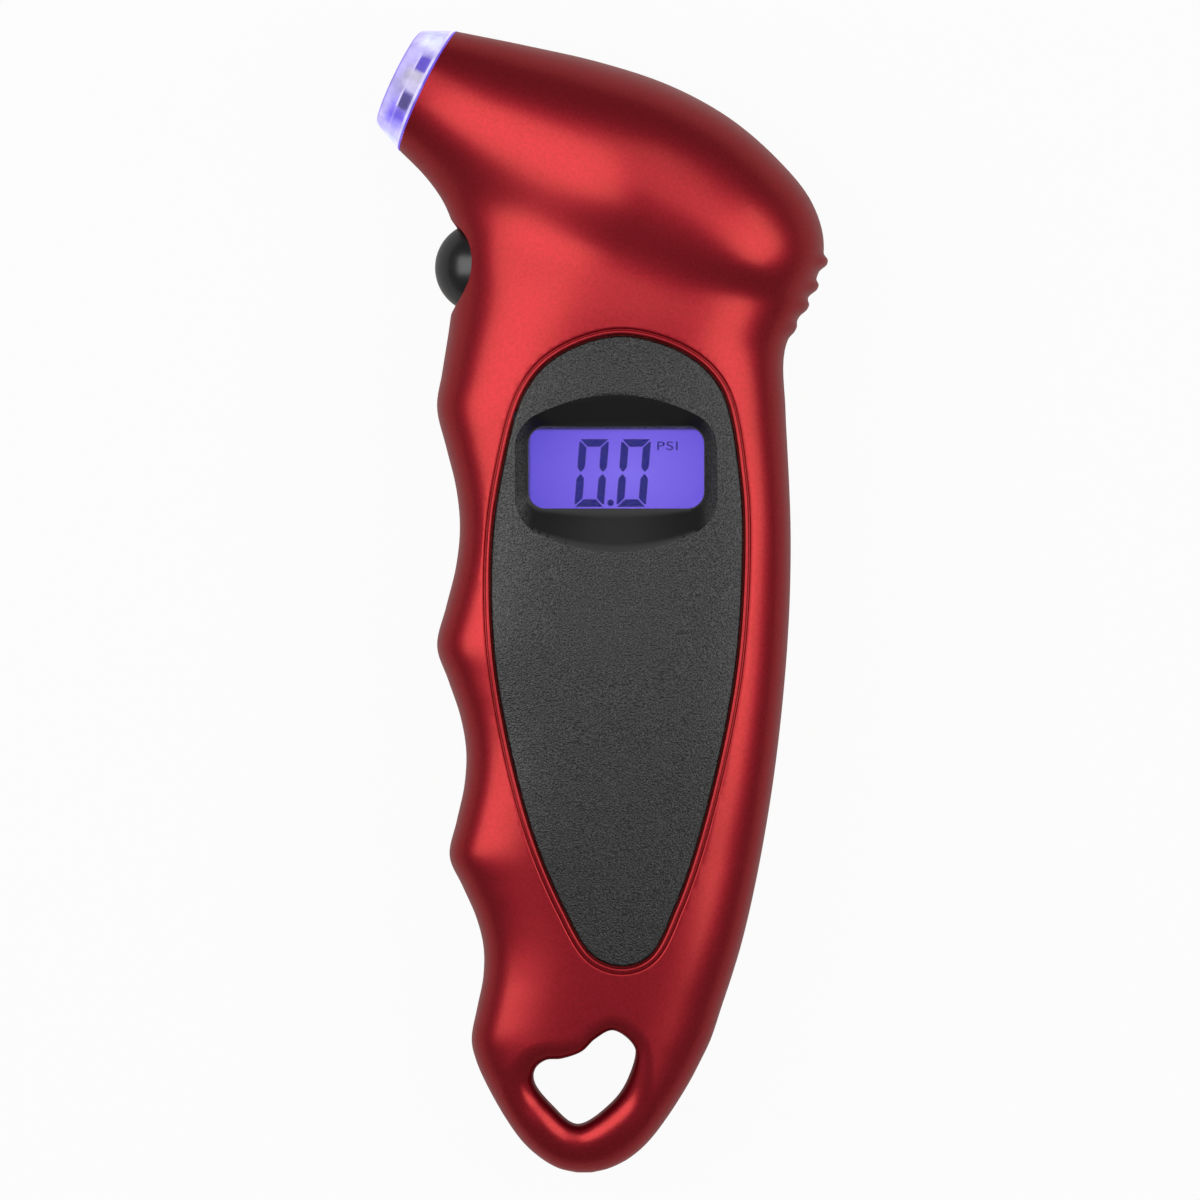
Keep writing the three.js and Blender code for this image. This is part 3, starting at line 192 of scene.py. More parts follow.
bodyForm = {
    "partingZ": 15.0,                # joint plane of the shells
    "seam": 0.1,
    "wall": 2.0,
    "noseCentre": (-23.19, 69.02),
    "noseTilt": 64.0,                # degrees from +Y towards -X
    "noseRadius": 9.0,
    "noseLean": 0.08,                # its end face leans: mm along the nose for each mm of height
    "barrel": (15.8, 13.4),          # ridge heights, front and rear
    "barrelSwell": 32.5,
    "handle": (12.6, 16.2),
    "neckRise": 0.85,                # the handle's face climbs this much towards the barrel
    "neckSpan": (30.0, 48.0),
    "tailDrop": (6.0, 8.4),
    "tailStart": (-5.0, -17.0),
    "tailFall": 1.7,                 # above 1 the tail falls late
    "taperY": -66.0,
    "tipY": -77.5,
    # fold under the barrel: Y at X = 0, slope, half width, depth, fading and softness of the change,
    # the least softness, and the share of its depth that the rear shell has
    "foldLevel": 47.9, "foldSlope": -0.235, "foldSquash": 0.94,
    "foldWidth": 5.8, "foldDepth": 1.5, "foldFade": 0.042, "foldBlend": (2.2, 0.047),
    "foldLeast": 0.8, "foldRear": 0.6,
    # squareness of the section, 2 at the round nose: each change and the stations over which it comes
    "squareness": [(0.4, 0, 5), (1.4, 6, 14), (-1.1, 19, 31)],
    # left and right edge of the head, from the nose round to the grip
    "headPairs": [
        ((-27.13, 60.93), (-19.25, 77.11)), ((-24.0, 57.8), (-10.1, 75.3)), ((-21.8, 54.9), (-0.1, 73.1)),
        ((-20.5, 52.2), (9.2, 70.1)), ((-19.7, 49.3), (17.2, 65.8)), ((-19.6, 46.4), (23.8, 60.2)),
        ((-19.8, 43.2), (28.6, 54.2)), ((-20.3, 39.8), (30.2, 47.7)), ((-20.8, 36.2), (27.9, 40.9)),
        ((-21.6, 31.2), (24.9, 34.1)),
    ],
    "gripCrests": [(-22.3, 26.3), (-22.3, -5.9), (-20.6, -34.4), (-17.6, -59.1)],
    "grooveDepth": 3.1,
    "grooveFullness": 1.3,
    "grooveSteps": 6,
    "edgeShift": (0.18, -0.27),      # the whole outline past the nose sits this much off the drawing
    "noseEnd": 4,                    # station by which the nose's lean is gone and the shift is full
    "rightEdge": [(25.0, 26.3), (25.7, 8.8), (25.2, -6.6), (23.0, -26.5), (19.3, -45.3), (14.95, -59.1)],
    # tail below the last crest: share of the way to the tip, left X, right X
    "tailRows": [
        (0.168, -17.0, 13.5), (0.353, -15.5, 11.7), (0.576, -13.2, 9.1), (0.761, -10.8, 6.5),
        (0.886, -8.3, 3.9), (0.962, -5.9, 1.2), (0.995, -3.5, -1.2),
    ],
    # thumb ribs on the right edge: place along Y and how far each stands out
    "ribs": [(45.8, 0.8), (42.4, 0.78), (39.7, 0.6), (36.7, 0.45)],
    "ribSpread": 0.85,
    "ribHalfLength": 5.0,
    "ribStart": 0.7,                 # share of the half width at which they begin to rise
    # facets along the body, closer together at the ribs and at the tail: share of the rows, station
    "rows": 290,
    "rowPlan": [(0.0, 0.0), (0.19, 6.9), (0.36, 9.0), (0.78, 28.0), (1.0, 35.0)],
    "round": 104,
    "cavityRows": (0.3, 25.0, 90),   # first and last station, rows
    "cavityRound": 48,
}
partingZ = bodyForm["partingZ"]


# Satin metallic lacquer on moulded ABS: aluminium flake under a red clear coat, so it shines
# in broad soft bands with a fine sparkle and goes deep red where it turns from the light. The
# flakes that lie flat add a warmer, tighter shine. Real flakes are far finer than the 0.385 mm
# at which they are drawn here, so that the sparkle shows.
def redLacquer():
    material, tree = newMaterial("satin_metallic_red_lacquer")
    coords = addNode(tree, "ShaderNodeTexCoord")
    flakes = addNode(tree, "ShaderNodeTexNoise", None,
                     {"Vector": coords.outputs["Object"], "Scale": grainScale(0.385), "Detail": 2.0})
    clouds = addNode(tree, "ShaderNodeTexNoise", None,
                     {"Vector": coords.outputs["Object"], "Scale": grainScale(16.7), "Detail": 3.0})
    colour = addNode(tree, "ShaderNodeValToRGB", None, {"Fac": flakes.outputs["Fac"]},
                     [(0.3, "#9c1227"), (0.7, "#ac1732")])
    rough = addNode(tree, "ShaderNodeMapRange", None,
                    {"Value": clouds.outputs["Fac"], "To Min": 0.36, "To Max": 0.41})
    grain = addNode(tree, "ShaderNodeBump", None,
                    {"Height": flakes.outputs["Fac"], "Strength": 0.25, "Distance": 0.02 * mm})
    shader = addNode(tree, "ShaderNodeBsdfPrincipled", None, {
        "Base Color": colour.outputs["Color"], "Metallic": 0.93, "Roughness": rough.outputs["Result"],
        "Normal": grain.outputs["Normal"], "Coat Weight": 0.07, "Coat Roughness": 0.22, "Coat IOR": 1.5,
    })
    flatFlakes = addNode(tree, "ShaderNodeBsdfAnisotropic", None,
                         {"Color": paint("#ffa860"), "Roughness": 0.27, "Normal": grain.outputs["Normal"]})
    flatShare = 0.042
    mix = addNode(tree, "ShaderNodeMixShader", None,
                  {0: flatShare, 1: shader.outputs[0], 2: flatFlakes.outputs[0]})
    addNode(tree, "ShaderNodeOutputMaterial", None, {"Surface": mix.outputs[0]})
    return material


# ABS moulded against a spark-eroded tool: near black, broken up by a grain of about 0.23 mm
# whose tops shine more than its pits
def grainedPlastic():
    material, tree = newMaterial("spark_grained_abs")
    coords = addNode(tree, "ShaderNodeTexCoord")
    grain = addNode(tree, "ShaderNodeTexNoise", None, {
        "Vector": coords.outputs["Object"], "Scale": grainScale(0.227), "Detail": 1.5, "Roughness": 0.6,
    })
    pit, top = 0.34, 0.66
    colour = addNode(tree, "ShaderNodeValToRGB", None, {"Fac": grain.outputs["Fac"]},
                     [(pit, "#000000"), (top, "#1a1a1a")])
    shine = addNode(tree, "ShaderNodeMapRange", None, {
        "Value": grain.outputs["Fac"], "From Min": pit, "From Max": top, "To Min": 0.35, "To Max": 0.75,
    })
    bump = addNode(tree, "ShaderNodeBump", None,
                   {"Height": grain.outputs["Fac"], "Strength": 1.0, "Distance": 0.1 * mm})
    shader = addNode(tree, "ShaderNodeBsdfPrincipled", None, {
        "Base Color": colour.outputs["Color"], "Roughness": 0.3, "IOR": 1.53,
        "Specular IOR Level": shine.outputs["Result"], "Normal": bump.outputs["Normal"],
    })
    addNode(tree, "ShaderNodeOutputMaterial", None, {"Surface": shader.outputs[0]})
    return material


# The same ABS on the slopes of the display recess, which are smooth and dark above and below
# the window and grained from 11 mm to either side of it outwards
def recessPlastic():
    material, tree = newMaterial("smooth_abs_recess")
    coords = addNode(tree, "ShaderNodeTexCoord")
    grain = addNode(tree, "ShaderNodeTexNoise", None, {
        "Vector": coords.outputs["Object"], "Scale": grainScale(0.217), "Detail": 1.5, "Roughness": 0.6,
    })
    speckle = addNode(tree, "ShaderNodeValToRGB", None, {"Fac": grain.outputs["Fac"]},
                      [(0.38, "#0a0a0a"), (0.62, "#444444")])
    place = addNode(tree, "ShaderNodeSeparateXYZ", None, {"Vector": coords.outputs["Object"]})
    offset = addNode(tree, "ShaderNodeMath", {"operation": "SUBTRACT"},
                     {0: place.outputs["X"], 1: windowMiddle.x})
    away = addNode(tree, "ShaderNodeMath", {"operation": "ABSOLUTE"}, {0: offset.outputs[0]})
    side = addNode(tree, "ShaderNodeMapRange", {"interpolation_type": "SMOOTHSTEP"},
                   {"Value": away.outputs[0], "From Min": 11.0 * mm, "From Max": 13.2 * mm})
    colour = addNode(tree, "ShaderNodeMix", {"data_type": "RGBA"}, {
        "Factor": side.outputs["Result"], "A": paint("#111112"), "B": speckle.outputs["Color"],
    })
    bump = addNode(tree, "ShaderNodeBump", None, {
        "Height": grain.outputs["Fac"], "Strength": side.outputs["Result"], "Distance": 0.05 * mm,
    })
    shader = addNode(tree, "ShaderNodeBsdfPrincipled", None, {
        "Base Color": colour.outputs[2], "Roughness": 0.3, "IOR": 1.53, "Specular IOR Level": 0.4,
        "Normal": bump.outputs["Normal"],
    })
    addNode(tree, "ShaderNodeOutputMaterial", None, {"Surface": shader.outputs[0]})
    return material


# Plain plastics and rubbers share one make-up: a colour that drifts a little, a soft sheen and
# pits of about pitSize millimetres.
def mouldedMaterial(name, dark, light, roughness, ior=1.5, pitSize=1.11):
    material, tree = newMaterial(name)
    coords = addNode(tree, "ShaderNodeTexCoord")
    pits = addNode(tree, "ShaderNodeTexNoise", None,
                   {"Vector": coords.outputs["Object"], "Scale": grainScale(pitSize), "Detail": 3.0})
    colour = addNode(tree, "ShaderNodeValToRGB", None, {"Fac": pits.outputs["Fac"]},
                     [(0.3, dark), (0.7, light)])
    sheen = addNode(tree, "ShaderNodeMapRange", None,
                    {"Value": pits.outputs["Fac"], "To Min": roughness * 0.9, "To Max": roughness * 1.1})
    bump = addNode(tree, "ShaderNodeBump", None,
                   {"Height": pits.outputs["Fac"], "Strength": 0.15, "Distance": 0.03 * mm})
    shader = addNode(tree, "ShaderNodeBsdfPrincipled", None, {
        "Base Color": colour.outputs["Color"], "Roughness": sheen.outputs["Result"], "IOR": ior,
        "Normal": bump.outputs["Normal"],
    })
    addNode(tree, "ShaderNodeOutputMaterial", None, {"Surface": shader.outputs[0]})
    return material


# Plated and turned metals: a bright surface whose tone and polish change in small patches
def metalMaterial(name, dark, light, roughness):
    material, tree = newMaterial(name)
    coords = addNode(tree, "ShaderNodeTexCoord")
    patches = addNode(tree, "ShaderNodeTexNoise", None,
                      {"Vector": coords.outputs["Object"], "Scale": grainScale(2.38), "Detail": 5.0})
    colour = addNode(tree, "ShaderNodeValToRGB", None, {"Fac": patches.outputs["Fac"]},
                     [(0.3, dark), (0.7, light)])
    polish = addNode(tree, "ShaderNodeMapRange", None, {
        "Value": patches.outputs["Fac"], "To Min": roughness * 0.75, "To Max": roughness * 1.25,
    })
    shader = addNode(tree, "ShaderNodeBsdfPrincipled", None, {
        "Base Color": colour.outputs["Color"], "Metallic": 1.0, "Roughness": polish.outputs["Result"],
    })
    addNode(tree, "ShaderNodeOutputMaterial", None, {"Surface": shader.outputs[0]})
    return material


# Polished clear plastic: it bends what lies behind it, ripples a little as mouldings do, and
# may carry a painted glow that stands for the light of the lamps inside it.
def clearMaterial(name, tint, glow, strength, roughness=0.04, ior=1.49):
    material, tree = newMaterial(name)
    coords = addNode(tree, "ShaderNodeTexCoord")
    flow = addNode(tree, "ShaderNodeTexNoise", None,
                   {"Vector": coords.outputs["Object"], "Scale": grainScale(3.85), "Detail": 2.0})
    bump = addNode(tree, "ShaderNodeBump", None,
                   {"Height": flow.outputs["Fac"], "Strength": 0.2, "Distance": 0.1 * mm})
    shader = addNode(tree, "ShaderNodeBsdfPrincipled", None, {
        "Base Color": paint(tint), "Roughness": roughness, "IOR": ior, "Transmission Weight": 1.0,
        "Emission Color": paint(glow), "Emission Strength": strength, "Normal": bump.outputs["Normal"],
    })
    addNode(tree, "ShaderNodeOutputMaterial", None, {"Surface": shader.outputs[0]})
    return material


# Where the lit collar's colours change, in millimetres: across the nose from its axis, or along
# it from the foot of the collar
collarLook = {
    "across": {"gapsStart": (1.1, 1.9), "gapsEnd": (3.5, 4.3)},
    "along": {
        "line": (0.25, 0.38), "flange": (0.6, 0.75), "footStart": (0.5, 0.8), "footEnd": (2.15, 2.35),
        "ledgeStart": (2.1, 2.3), "ledgeEnd": (2.4, 2.6), "tip": (2.6, 4.0), "rim": (4.2, 4.5),
    },
    "reach": 9.0,            # half width over which the glow is spread
    "drift": 1.6,            # how far the swirl pulls the glow about
    "glow": [
        (0.03, "#f0fbff"), (0.12, "#cfc8ff"), (0.21, "#6a4fe8"), (0.3, "#9a8cf2"), (0.42, "#b7b0cf"),
        (0.55, "#d4cfcd"), (0.66, "#c3baf0"), (0.76, "#dcd6ff"), (0.85, "#f2fbff"), (1.0, "#b3a6fa"),
    ],
}


# The nozzle's acrylic ring, whose light from its two lamps inside is painted on as its own glow. Across
# the nose the painted glow runs from the lamps' white at both ends through violet to a painted grey where
# the metal behind its middle would show; two darker gaps lie beside that, and a painted bright flange and a
# violet line run round its foot.
def litAcrylic():
    material, tree = newMaterial("lit_polished_acrylic")
    coords = addNode(tree, "ShaderNodeTexCoord")
    swirl = addNode(tree, "ShaderNodeTexNoise", None,
                    {"Vector": coords.outputs["Object"], "Scale": grainScale(2.38), "Detail": 2.0})
    drift = collarLook["drift"] * mm
    pulled = addNode(tree, "ShaderNodeVectorMath", {"operation": "MULTIPLY_ADD"},
                     {0: swirl.outputs["Color"], 1: (drift, drift, 0.0), 2: coords.outputs["Object"]})
    nose = at(*bodyForm["noseCentre"], partingZ)
    turn = (0.0, 0.0, math.radians(bodyForm["noseTilt"]))
    local = addNode(tree, "ShaderNodeMapping", {"vector_type": "TEXTURE"}, {
        "Vector": pulled.outputs["Vector"], "Rotation": turn,
        "Location": nose + Vector((drift / 2, drift / 2, 0.0)),
    })
    sharp = addNode(tree, "ShaderNodeMapping", {"vector_type": "TEXTURE"},
                    {"Vector": coords.outputs["Object"], "Location": nose, "Rotation": turn})
    place = addNode(tree, "ShaderNodeSeparateXYZ", None, {"Vector": local.outputs["Vector"]})
    exact = addNode(tree, "ShaderNodeSeparateXYZ", None, {"Vector": sharp.outputs["Vector"]})
    lean = addNode(tree, "ShaderNodeMath", {"operation": "MULTIPLY"},
                   {0: exact.outputs["Z"], 1: bodyForm["noseLean"]})
    along = addNode(tree, "ShaderNodeMath", {"operation": "SUBTRACT"},
                    {0: exact.outputs["Y"], 1: lean.outputs[0]})
    across = addNode(tree, "ShaderNodeMath", {"operation": "ABSOLUTE"}, {0: place.outputs["X"]})

    # every band rises from 0 to 1 over its span; a strip lies between two of them
    bands = {}
    for direction, value in (("across", across), ("along", along)):
        for name, (low, high) in collarLook[direction].items():
            band = addNode(tree, "ShaderNodeMapRange", {"interpolation_type": "SMOOTHSTEP"},
                           {"Value": value.outputs[0], "From Min": low * mm, "From Max": high * mm})
            bands[name] = band.outputs["Result"]
    for name in ("gaps", "foot", "ledge"):
        strip = addNode(tree, "ShaderNodeMath", {"operation": "SUBTRACT"},
                        {0: bands[name + "Start"], 1: bands[name + "End"]})
        bands[name] = strip.outputs[0]
    broken = addNode(tree, "ShaderNodeMapRange", None, {"Value": bands["gaps"], "To Min": 0.25})
    brokenLedge = addNode(tree, "ShaderNodeMath", {"operation": "MULTIPLY"},
                          {0: bands["ledge"], 1: broken.outputs["Result"]})
    footGaps = addNode(tree, "ShaderNodeMath", {"operation": "MULTIPLY"},
                       {0: bands["gaps"], 1: bands["foot"]})

    reach = collarLook["reach"] * mm
    spread = addNode(tree, "ShaderNodeMapRange", None,
                     {"Value": place.outputs["X"], "From Min": -reach, "From Max": reach})
    glow = addNode(tree, "ShaderNodeValToRGB", None, {"Fac": spread.outputs["Result"]}, collarLook["glow"])
    dark = addNode(tree, "ShaderNodeValToRGB", None, {"Fac": spread.outputs["Result"]},
                   [(0.35, "#3d3858"), (0.65, "#5f4ac4")])

    # from the inside out: what each colour covers, above its band or below it
    colour = glow.outputs["Color"]
    for factor, layer, isAbove in (
        (bands["tip"], paint("#cfc6f8"), True), (brokenLedge.outputs[0], paint("#eee4ff"), True),
        (footGaps.outputs[0], dark.outputs["Color"], True), (bands["rim"], paint("#8674e0"), True),
        (bands["flange"], paint("#efeaff"), False), (bands["line"], paint("#5a3ccc"), False),
    ):
        first, second = (colour, layer) if isAbove else (layer, colour)
        mix = addNode(tree, "ShaderNodeMix", {"data_type": "RGBA"},
                      {"Factor": factor, "A": first, "B": second})
        colour = mix.outputs[2]
    streaks = addNode(tree, "ShaderNodeTexNoise", None,
                      {"Vector": sharp.outputs["Vector"], "Scale": grainScale(1.613), "Detail": 2.0})
    strength = addNode(tree, "ShaderNodeMapRange", None, {
        "Value": streaks.outputs["Fac"], "From Min": 0.3, "From Max": 0.7, "To Min": 0.56, "To Max": 0.84,
    })
    # the painted glow, its bands and its streaks go in as the ring's own emission
    shader = addNode(tree, "ShaderNodeBsdfPrincipled", None, {
        "Base Color": paint("#5d5690"), "Roughness": 0.12, "IOR": 1.49, "Transmission Weight": 0.4,
        "Emission Color": colour, "Emission Strength": strength.outputs["Result"],
    })
    addNode(tree, "ShaderNodeOutputMaterial", None, {"Surface": shader.outputs[0]})
    return material


# Sizes of the glow on the lit glass, in millimetres
glassLook = {
    "brightest": (1.8, -0.8),            # from the middle of the window
    "fade": (16.13, 11.36),              # how far from there it is darkest
    "topShade": (0.55, 0.15, 0.12),      # shadow of the frame: start and end below its edge, what is left
    "leftShade": (0.1, 0.4, 0.5),
}


# Lit liquid-crystal glass: violet, brightest a little low on the right, and in the shadow of the
# window's frame along its top and left
def litGlass():
    material, tree = newMaterial("backlit_lcd_glass")
    coords = addNode(tree, "ShaderNodeTexCoord")
    brightX, brightY = glassLook["brightest"]
    centred = addNode(tree, "ShaderNodeMapping", {"vector_type": "POINT"}, {
        "Vector": coords.outputs["Object"],
        "Location": (-windowMiddle.x - brightX * mm, -windowMiddle.y - brightY * mm, 0.0),
    })
    fadeX, fadeY = glassLook["fade"]
    spread = addNode(tree, "ShaderNodeVectorMath", {"operation": "MULTIPLY"},
                     {0: centred.outputs["Vector"], 1: (1 / (fadeX * mm), 1 / (fadeY * mm), 0.0)})
    distance = addNode(tree, "ShaderNodeVectorMath", {"operation": "LENGTH"}, {0: spread.outputs["Vector"]})
    colour = addNode(tree, "ShaderNodeValToRGB", None, {"Fac": distance.outputs["Value"]},
                     [(0.0, "#7763e8"), (0.45, "#6c55df"), (0.8, "#5c46d2"), (1.0, "#523cc8")])
    place = addNode(tree, "ShaderNodeSeparateXYZ", None, {"Vector": coords.outputs["Object"]})
    leftEdge = windowMiddle.x - windowSize[0] / 2 * mm
    topEdge = windowMiddle.y + windowSize[1] / 2 * mm
    start, end, least = glassLook["topShade"]
    fromTop = addNode(tree, "ShaderNodeMapRange", {"interpolation_type": "SMOOTHSTEP"}, {
        "Value": place.outputs["Y"], "From Min": topEdge - start * mm, "From Max": topEdge - end * mm,
        "To Min": 1.0, "To Max": least,
    })
    start, end, least = glassLook["leftShade"]
    fromLeft = addNode(tree, "ShaderNodeMapRange", {"interpolation_type": "SMOOTHSTEP"}, {
        "Value": place.outputs["X"], "From Min": leftEdge + start * mm, "From Max": leftEdge + end * mm,
        "To Min": least, "To Max": 1.0,
    })
    shade = addNode(tree, "ShaderNodeMath", {"operation": "MULTIPLY"},
                    {0: fromTop.outputs["Result"], 1: fromLeft.outputs["Result"]})
    light = addNode(tree, "ShaderNodeEmission", None,
                    {"Color": colour.outputs["Color"], "Strength": shade.outputs[0]})
    gloss = addNode(tree, "ShaderNodeBsdfPrincipled", None, {
        "Base Color": paint("#060412"), "Roughness": 0.3, "IOR": 1.5, "Specular IOR Level": 0.1,
    })
    both = addNode(tree, "ShaderNodeAddShader", None, {0: light.outputs[0], 1: gloss.outputs[0]})
    addNode(tree, "ShaderNodeOutputMaterial", None, {"Surface": both.outputs[0]})
    return material


# A lit LED under clear epoxy: it glows violet, with white patches where the die shines through.
def glowMaterial(name, colour, strength):
    material, tree = newMaterial(name)
    coords = addNode(tree, "ShaderNodeTexCoord")
    die = addNode(tree, "ShaderNodeTexNoise", None,
                  {"Vector": coords.outputs["Object"], "Scale": grainScale(1.43), "Detail": 1.0})
    tone = addNode(tree, "ShaderNodeValToRGB", None, {"Fac": die.outputs["Fac"]},
                   [(0.3, colour), (0.7, "#ffffff")])
    light = addNode(tree, "ShaderNodeEmission", None, {"Color": tone.outputs["Color"], "Strength": strength})
    addNode(tree, "ShaderNodeOutputMaterial", None, {"Surface": light.outputs[0]})
    return material


finishes = {
    "litAcrylic": litAcrylic(),
    "lacquer": redLacquer(),
    "grained": grainedPlastic(),
    "recess": recessPlastic(),
    "buttonBlack": mouldedMaterial("gloss_moulded_black_abs", "#090909", "#0e0e0e", 0.28, 1.6, 2.0),
    "rubber": mouldedMaterial("moulded_nitrile_rubber", "#151515", "#202020", 0.7),
    "blackPlastic": mouldedMaterial("moulded_black_nylon", "#1a1a1a", "#262626", 0.5),
    "whitePlastic": mouldedMaterial("moulded_white_abs", "#dcdcd6", "#eaeae6", 0.45),
    "silicone": mouldedMaterial("extruded_silicone", "#cfccc4", "#dedbd4", 0.45, 1.42),
    "solderMask": mouldedMaterial(
        "green_solder_mask_on_glass_epoxy", "#15492c", "#1f6a41", 0.3, 1.55, 3.33),
    "epoxy": mouldedMaterial("cast_black_epoxy", "#0d0d0d", "#161616", 0.25, 1.55),
    "ceramic": mouldedMaterial("fired_ceramic", "#a07f56", "#b8966a", 0.5),
    "insulation": mouldedMaterial("pvc_wire_insulation", "#9c1b1b", "#b22422", 0.4),
    "nickel": metalMaterial("bright_nickel_plate", "#b3afa7", "#cfccc4", 0.24),
    "brass": metalMaterial("turned_brass", "#a98346", "#c6a263", 0.3),
    "steel": metalMaterial("zinc_plated_steel", "#8d9199", "#aeb2b8", 0.34),
    "acrylic": clearMaterial("polished_clear_acrylic", "#f1eeff", "#b4a4ff", 0.10),
    "lens": clearMaterial("clear_polycarbonate_lens", "#ffffff", "#000000", 0.0, 0.02, 1.25),
    "lcd": litGlass(),
    "ink": mouldedMaterial("dark_liquid_crystal", "#130e86", "#161092", 0.5, 1.05),
    "ledLight": glowMaterial("lit_led_epoxy", "#a99bff", 9.0),
}
print("materials made:", len(finishes))


def pick(*objects):
    bpy.ops.object.select_all(action="DESELECT")
    for obj in objects:
        obj.select_set(True)
    bpy.context.view_layer.objects.active = objects[0]


def copyOf(obj, name):
    twin = obj.copy()
    twin.data = obj.data.copy()
    twin.name = name
    bpy.context.scene.collection.objects.link(twin)
    return twin


# A grid laid over a table of points in drawing millimetres: rows x columns x 3. Its last column
# meets its first; its rows either meet too, as on a ring, or end in caps.
def gridForm(name, points, ringed=False):
    rows, columns = points.shape[:2]
    bpy.ops.object.select_all(action="DESELECT")
    bpy.ops.mesh.primitive_grid_add(
        x_subdivisions=columns, y_subdivisions=rows if ringed else rows - 1, size=2)
    obj = bpy.context.object
    obj.name = name
    rowIndex = np.arange(rows + 1 if ringed else rows) % rows
    columnIndex = np.arange(columns + 1) % columns
    laid = points[np.ix_(rowIndex, columnIndex)].reshape(-1, 3)
    obj.data.vertices.foreach_set("co", (laid * mm + np.array(shift)).ravel())
    obj.data.update()
    bpy.ops.object.mode_set(mode="EDIT")
    bpy.ops.mesh.select_all(action="SELECT")
    bpy.ops.mesh.remove_doubles(threshold=1e-7)
    if not ringed:
        bpy.ops.mesh.select_all(action="DESELECT")
        bpy.ops.mesh.select_non_manifold()
        bpy.ops.mesh.fill_holes(sides=0)
    bpy.ops.mesh.select_all(action="SELECT")
    bpy.ops.mesh.normals_make_consistent(inside=False)
    bpy.ops.object.mode_set(mode="OBJECT")
    return obj


# Upright prism over an outline, from one height to another
def prismForm(name, loop, z0, z1):
    loop = np.asarray(loop, float)
    rows = [np.column_stack([loop, np.full(len(loop), z)]) for z in (z0, z1)]
    return gridForm(name, np.array(rows))


# Square block between its lowest and its highest corner
def blockForm(name, low, high):
    bpy.ops.object.select_all(action="DESELECT")
    middle = [(a + b) / 2 for a, b in zip(low, high)]
    bpy.ops.mesh.primitive_cube_add(size=1, location=at(*middle))
    obj = bpy.context.object
    obj.name = name
    obj.scale = [(b - a) * mm for a, b in zip(low, high)]
    bpy.ops.object.transform_apply(location=True, rotation=True, scale=True)
    return obj


# Round bar along an axis, from one place on it to another; the other two coordinates are its centre.
def barForm(name, axis, radius, start, end, centre, steps=48):
    bpy.ops.object.select_all(action="DESELECT")
    middle = (start + end) / 2
    spot = {"x": (middle, *centre), "y": (centre[0], middle, centre[1]), "z": (*centre, middle)}[axis]
    turn = {"x": (0, math.pi / 2, 0), "y": (math.pi / 2, 0, 0), "z": (0, 0, 0)}[axis]
    bpy.ops.mesh.primitive_cylinder_add(
        vertices=steps, radius=radius * mm, depth=(end - start) * mm, location=at(*spot), rotation=turn)
    obj = bpy.context.object
    obj.name = name
    bpy.ops.object.transform_apply(location=True, rotation=True, scale=True)
    return obj


sharpAngle = 32     # degrees past which an edge stays sharp
far = (90.0, 120.0, 60.0)     # mm, outside the part on every side


# Joins or cuts with other solids, which are used up.
def combine(obj, others, operation="DIFFERENCE"):
    for other in others:
        pick(obj)
        step = obj.modifiers.new("step", "BOOLEAN")
        step.operation = operation
        step.solver = "MANIFOLD"
        step.object = other
        bpy.ops.object.modifier_apply(modifier=step.name)
        bpy.data.objects.remove(other)
    return obj


# Paints and shades a piece, hangs it on the body that carries it and hides the nodes it stands for.
def finishPiece(obj, finish, body, nodes):
    pick(obj)
    if finish:
        obj.data.materials.clear()
        obj.data.materials.append(finishes[finish])
    bpy.ops.object.shade_smooth_by_angle(angle=math.radians(sharpAngle))
    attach(obj, body)
    if nodes:
        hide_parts(*nodes)
    return obj


# Catmull-Rom curve through points; even treats every span alike, whatever its length.
def curveThrough(points, closed=False, perSpan=12, even=False):
    points = np.array(points, float)
    count = len(points)
    t = np.arange(perSpan)[:, None] / perSpan
    out = []
    for i in range(count if closed else count - 1):
        p1, p2 = points[i], points[(i + 1) % count]
        p0 = points[i - 1] if closed or i > 0 else 2 * p1 - p2
        p3 = points[(i + 2) % count] if closed or i + 2 < count else 2 * p2 - p1
        spans = ((p0, p1), (p1, p2), (p2, p3))
        d0, d1, d2 = [1.0 if even else np.linalg.norm(b - a) ** 0.5 for a, b in spans]
        m1 = ((p1 - p0) / d0 - (p2 - p0) / (d0 + d1) + (p2 - p1) / d1) * d1
        m2 = ((p2 - p1) / d1 - (p3 - p1) / (d1 + d2) + (p3 - p2) / d2) * d1
        square = 3 * (p2 - p1) - 2 * m1 - m2
        cube = 2 * (p1 - p2) + m1 + m2
        out.append(p1 + m1 * t + square * t ** 2 + cube * t ** 3)
    if not closed:
        out.append(points[-1:])
    return np.concatenate(out)


# Moves a closed outline outwards by a distance, or by one for each of its points in a column.
def offsetLoop(loop, distance):
    along = np.roll(loop, -1, 0) - np.roll(loop, 1, 0)
    along /= np.linalg.norm(along, axis=1)[:, None]
    area = np.sum(loop[:, 0] * np.roll(loop[:, 1], -1) - np.roll(loop[:, 0], -1) * loop[:, 1])
    outward = np.column_stack([along[:, 1], -along[:, 0]]) * np.sign(area)
    return loop + outward * distance


# Runs from 0 at low to 1 at high with a soft start and end
def smooth(low, high, value):
    t = np.clip((value - low) / (high - low), 0, 1)
    return t * t * (3 - 2 * t)


samplesPerPair = 40


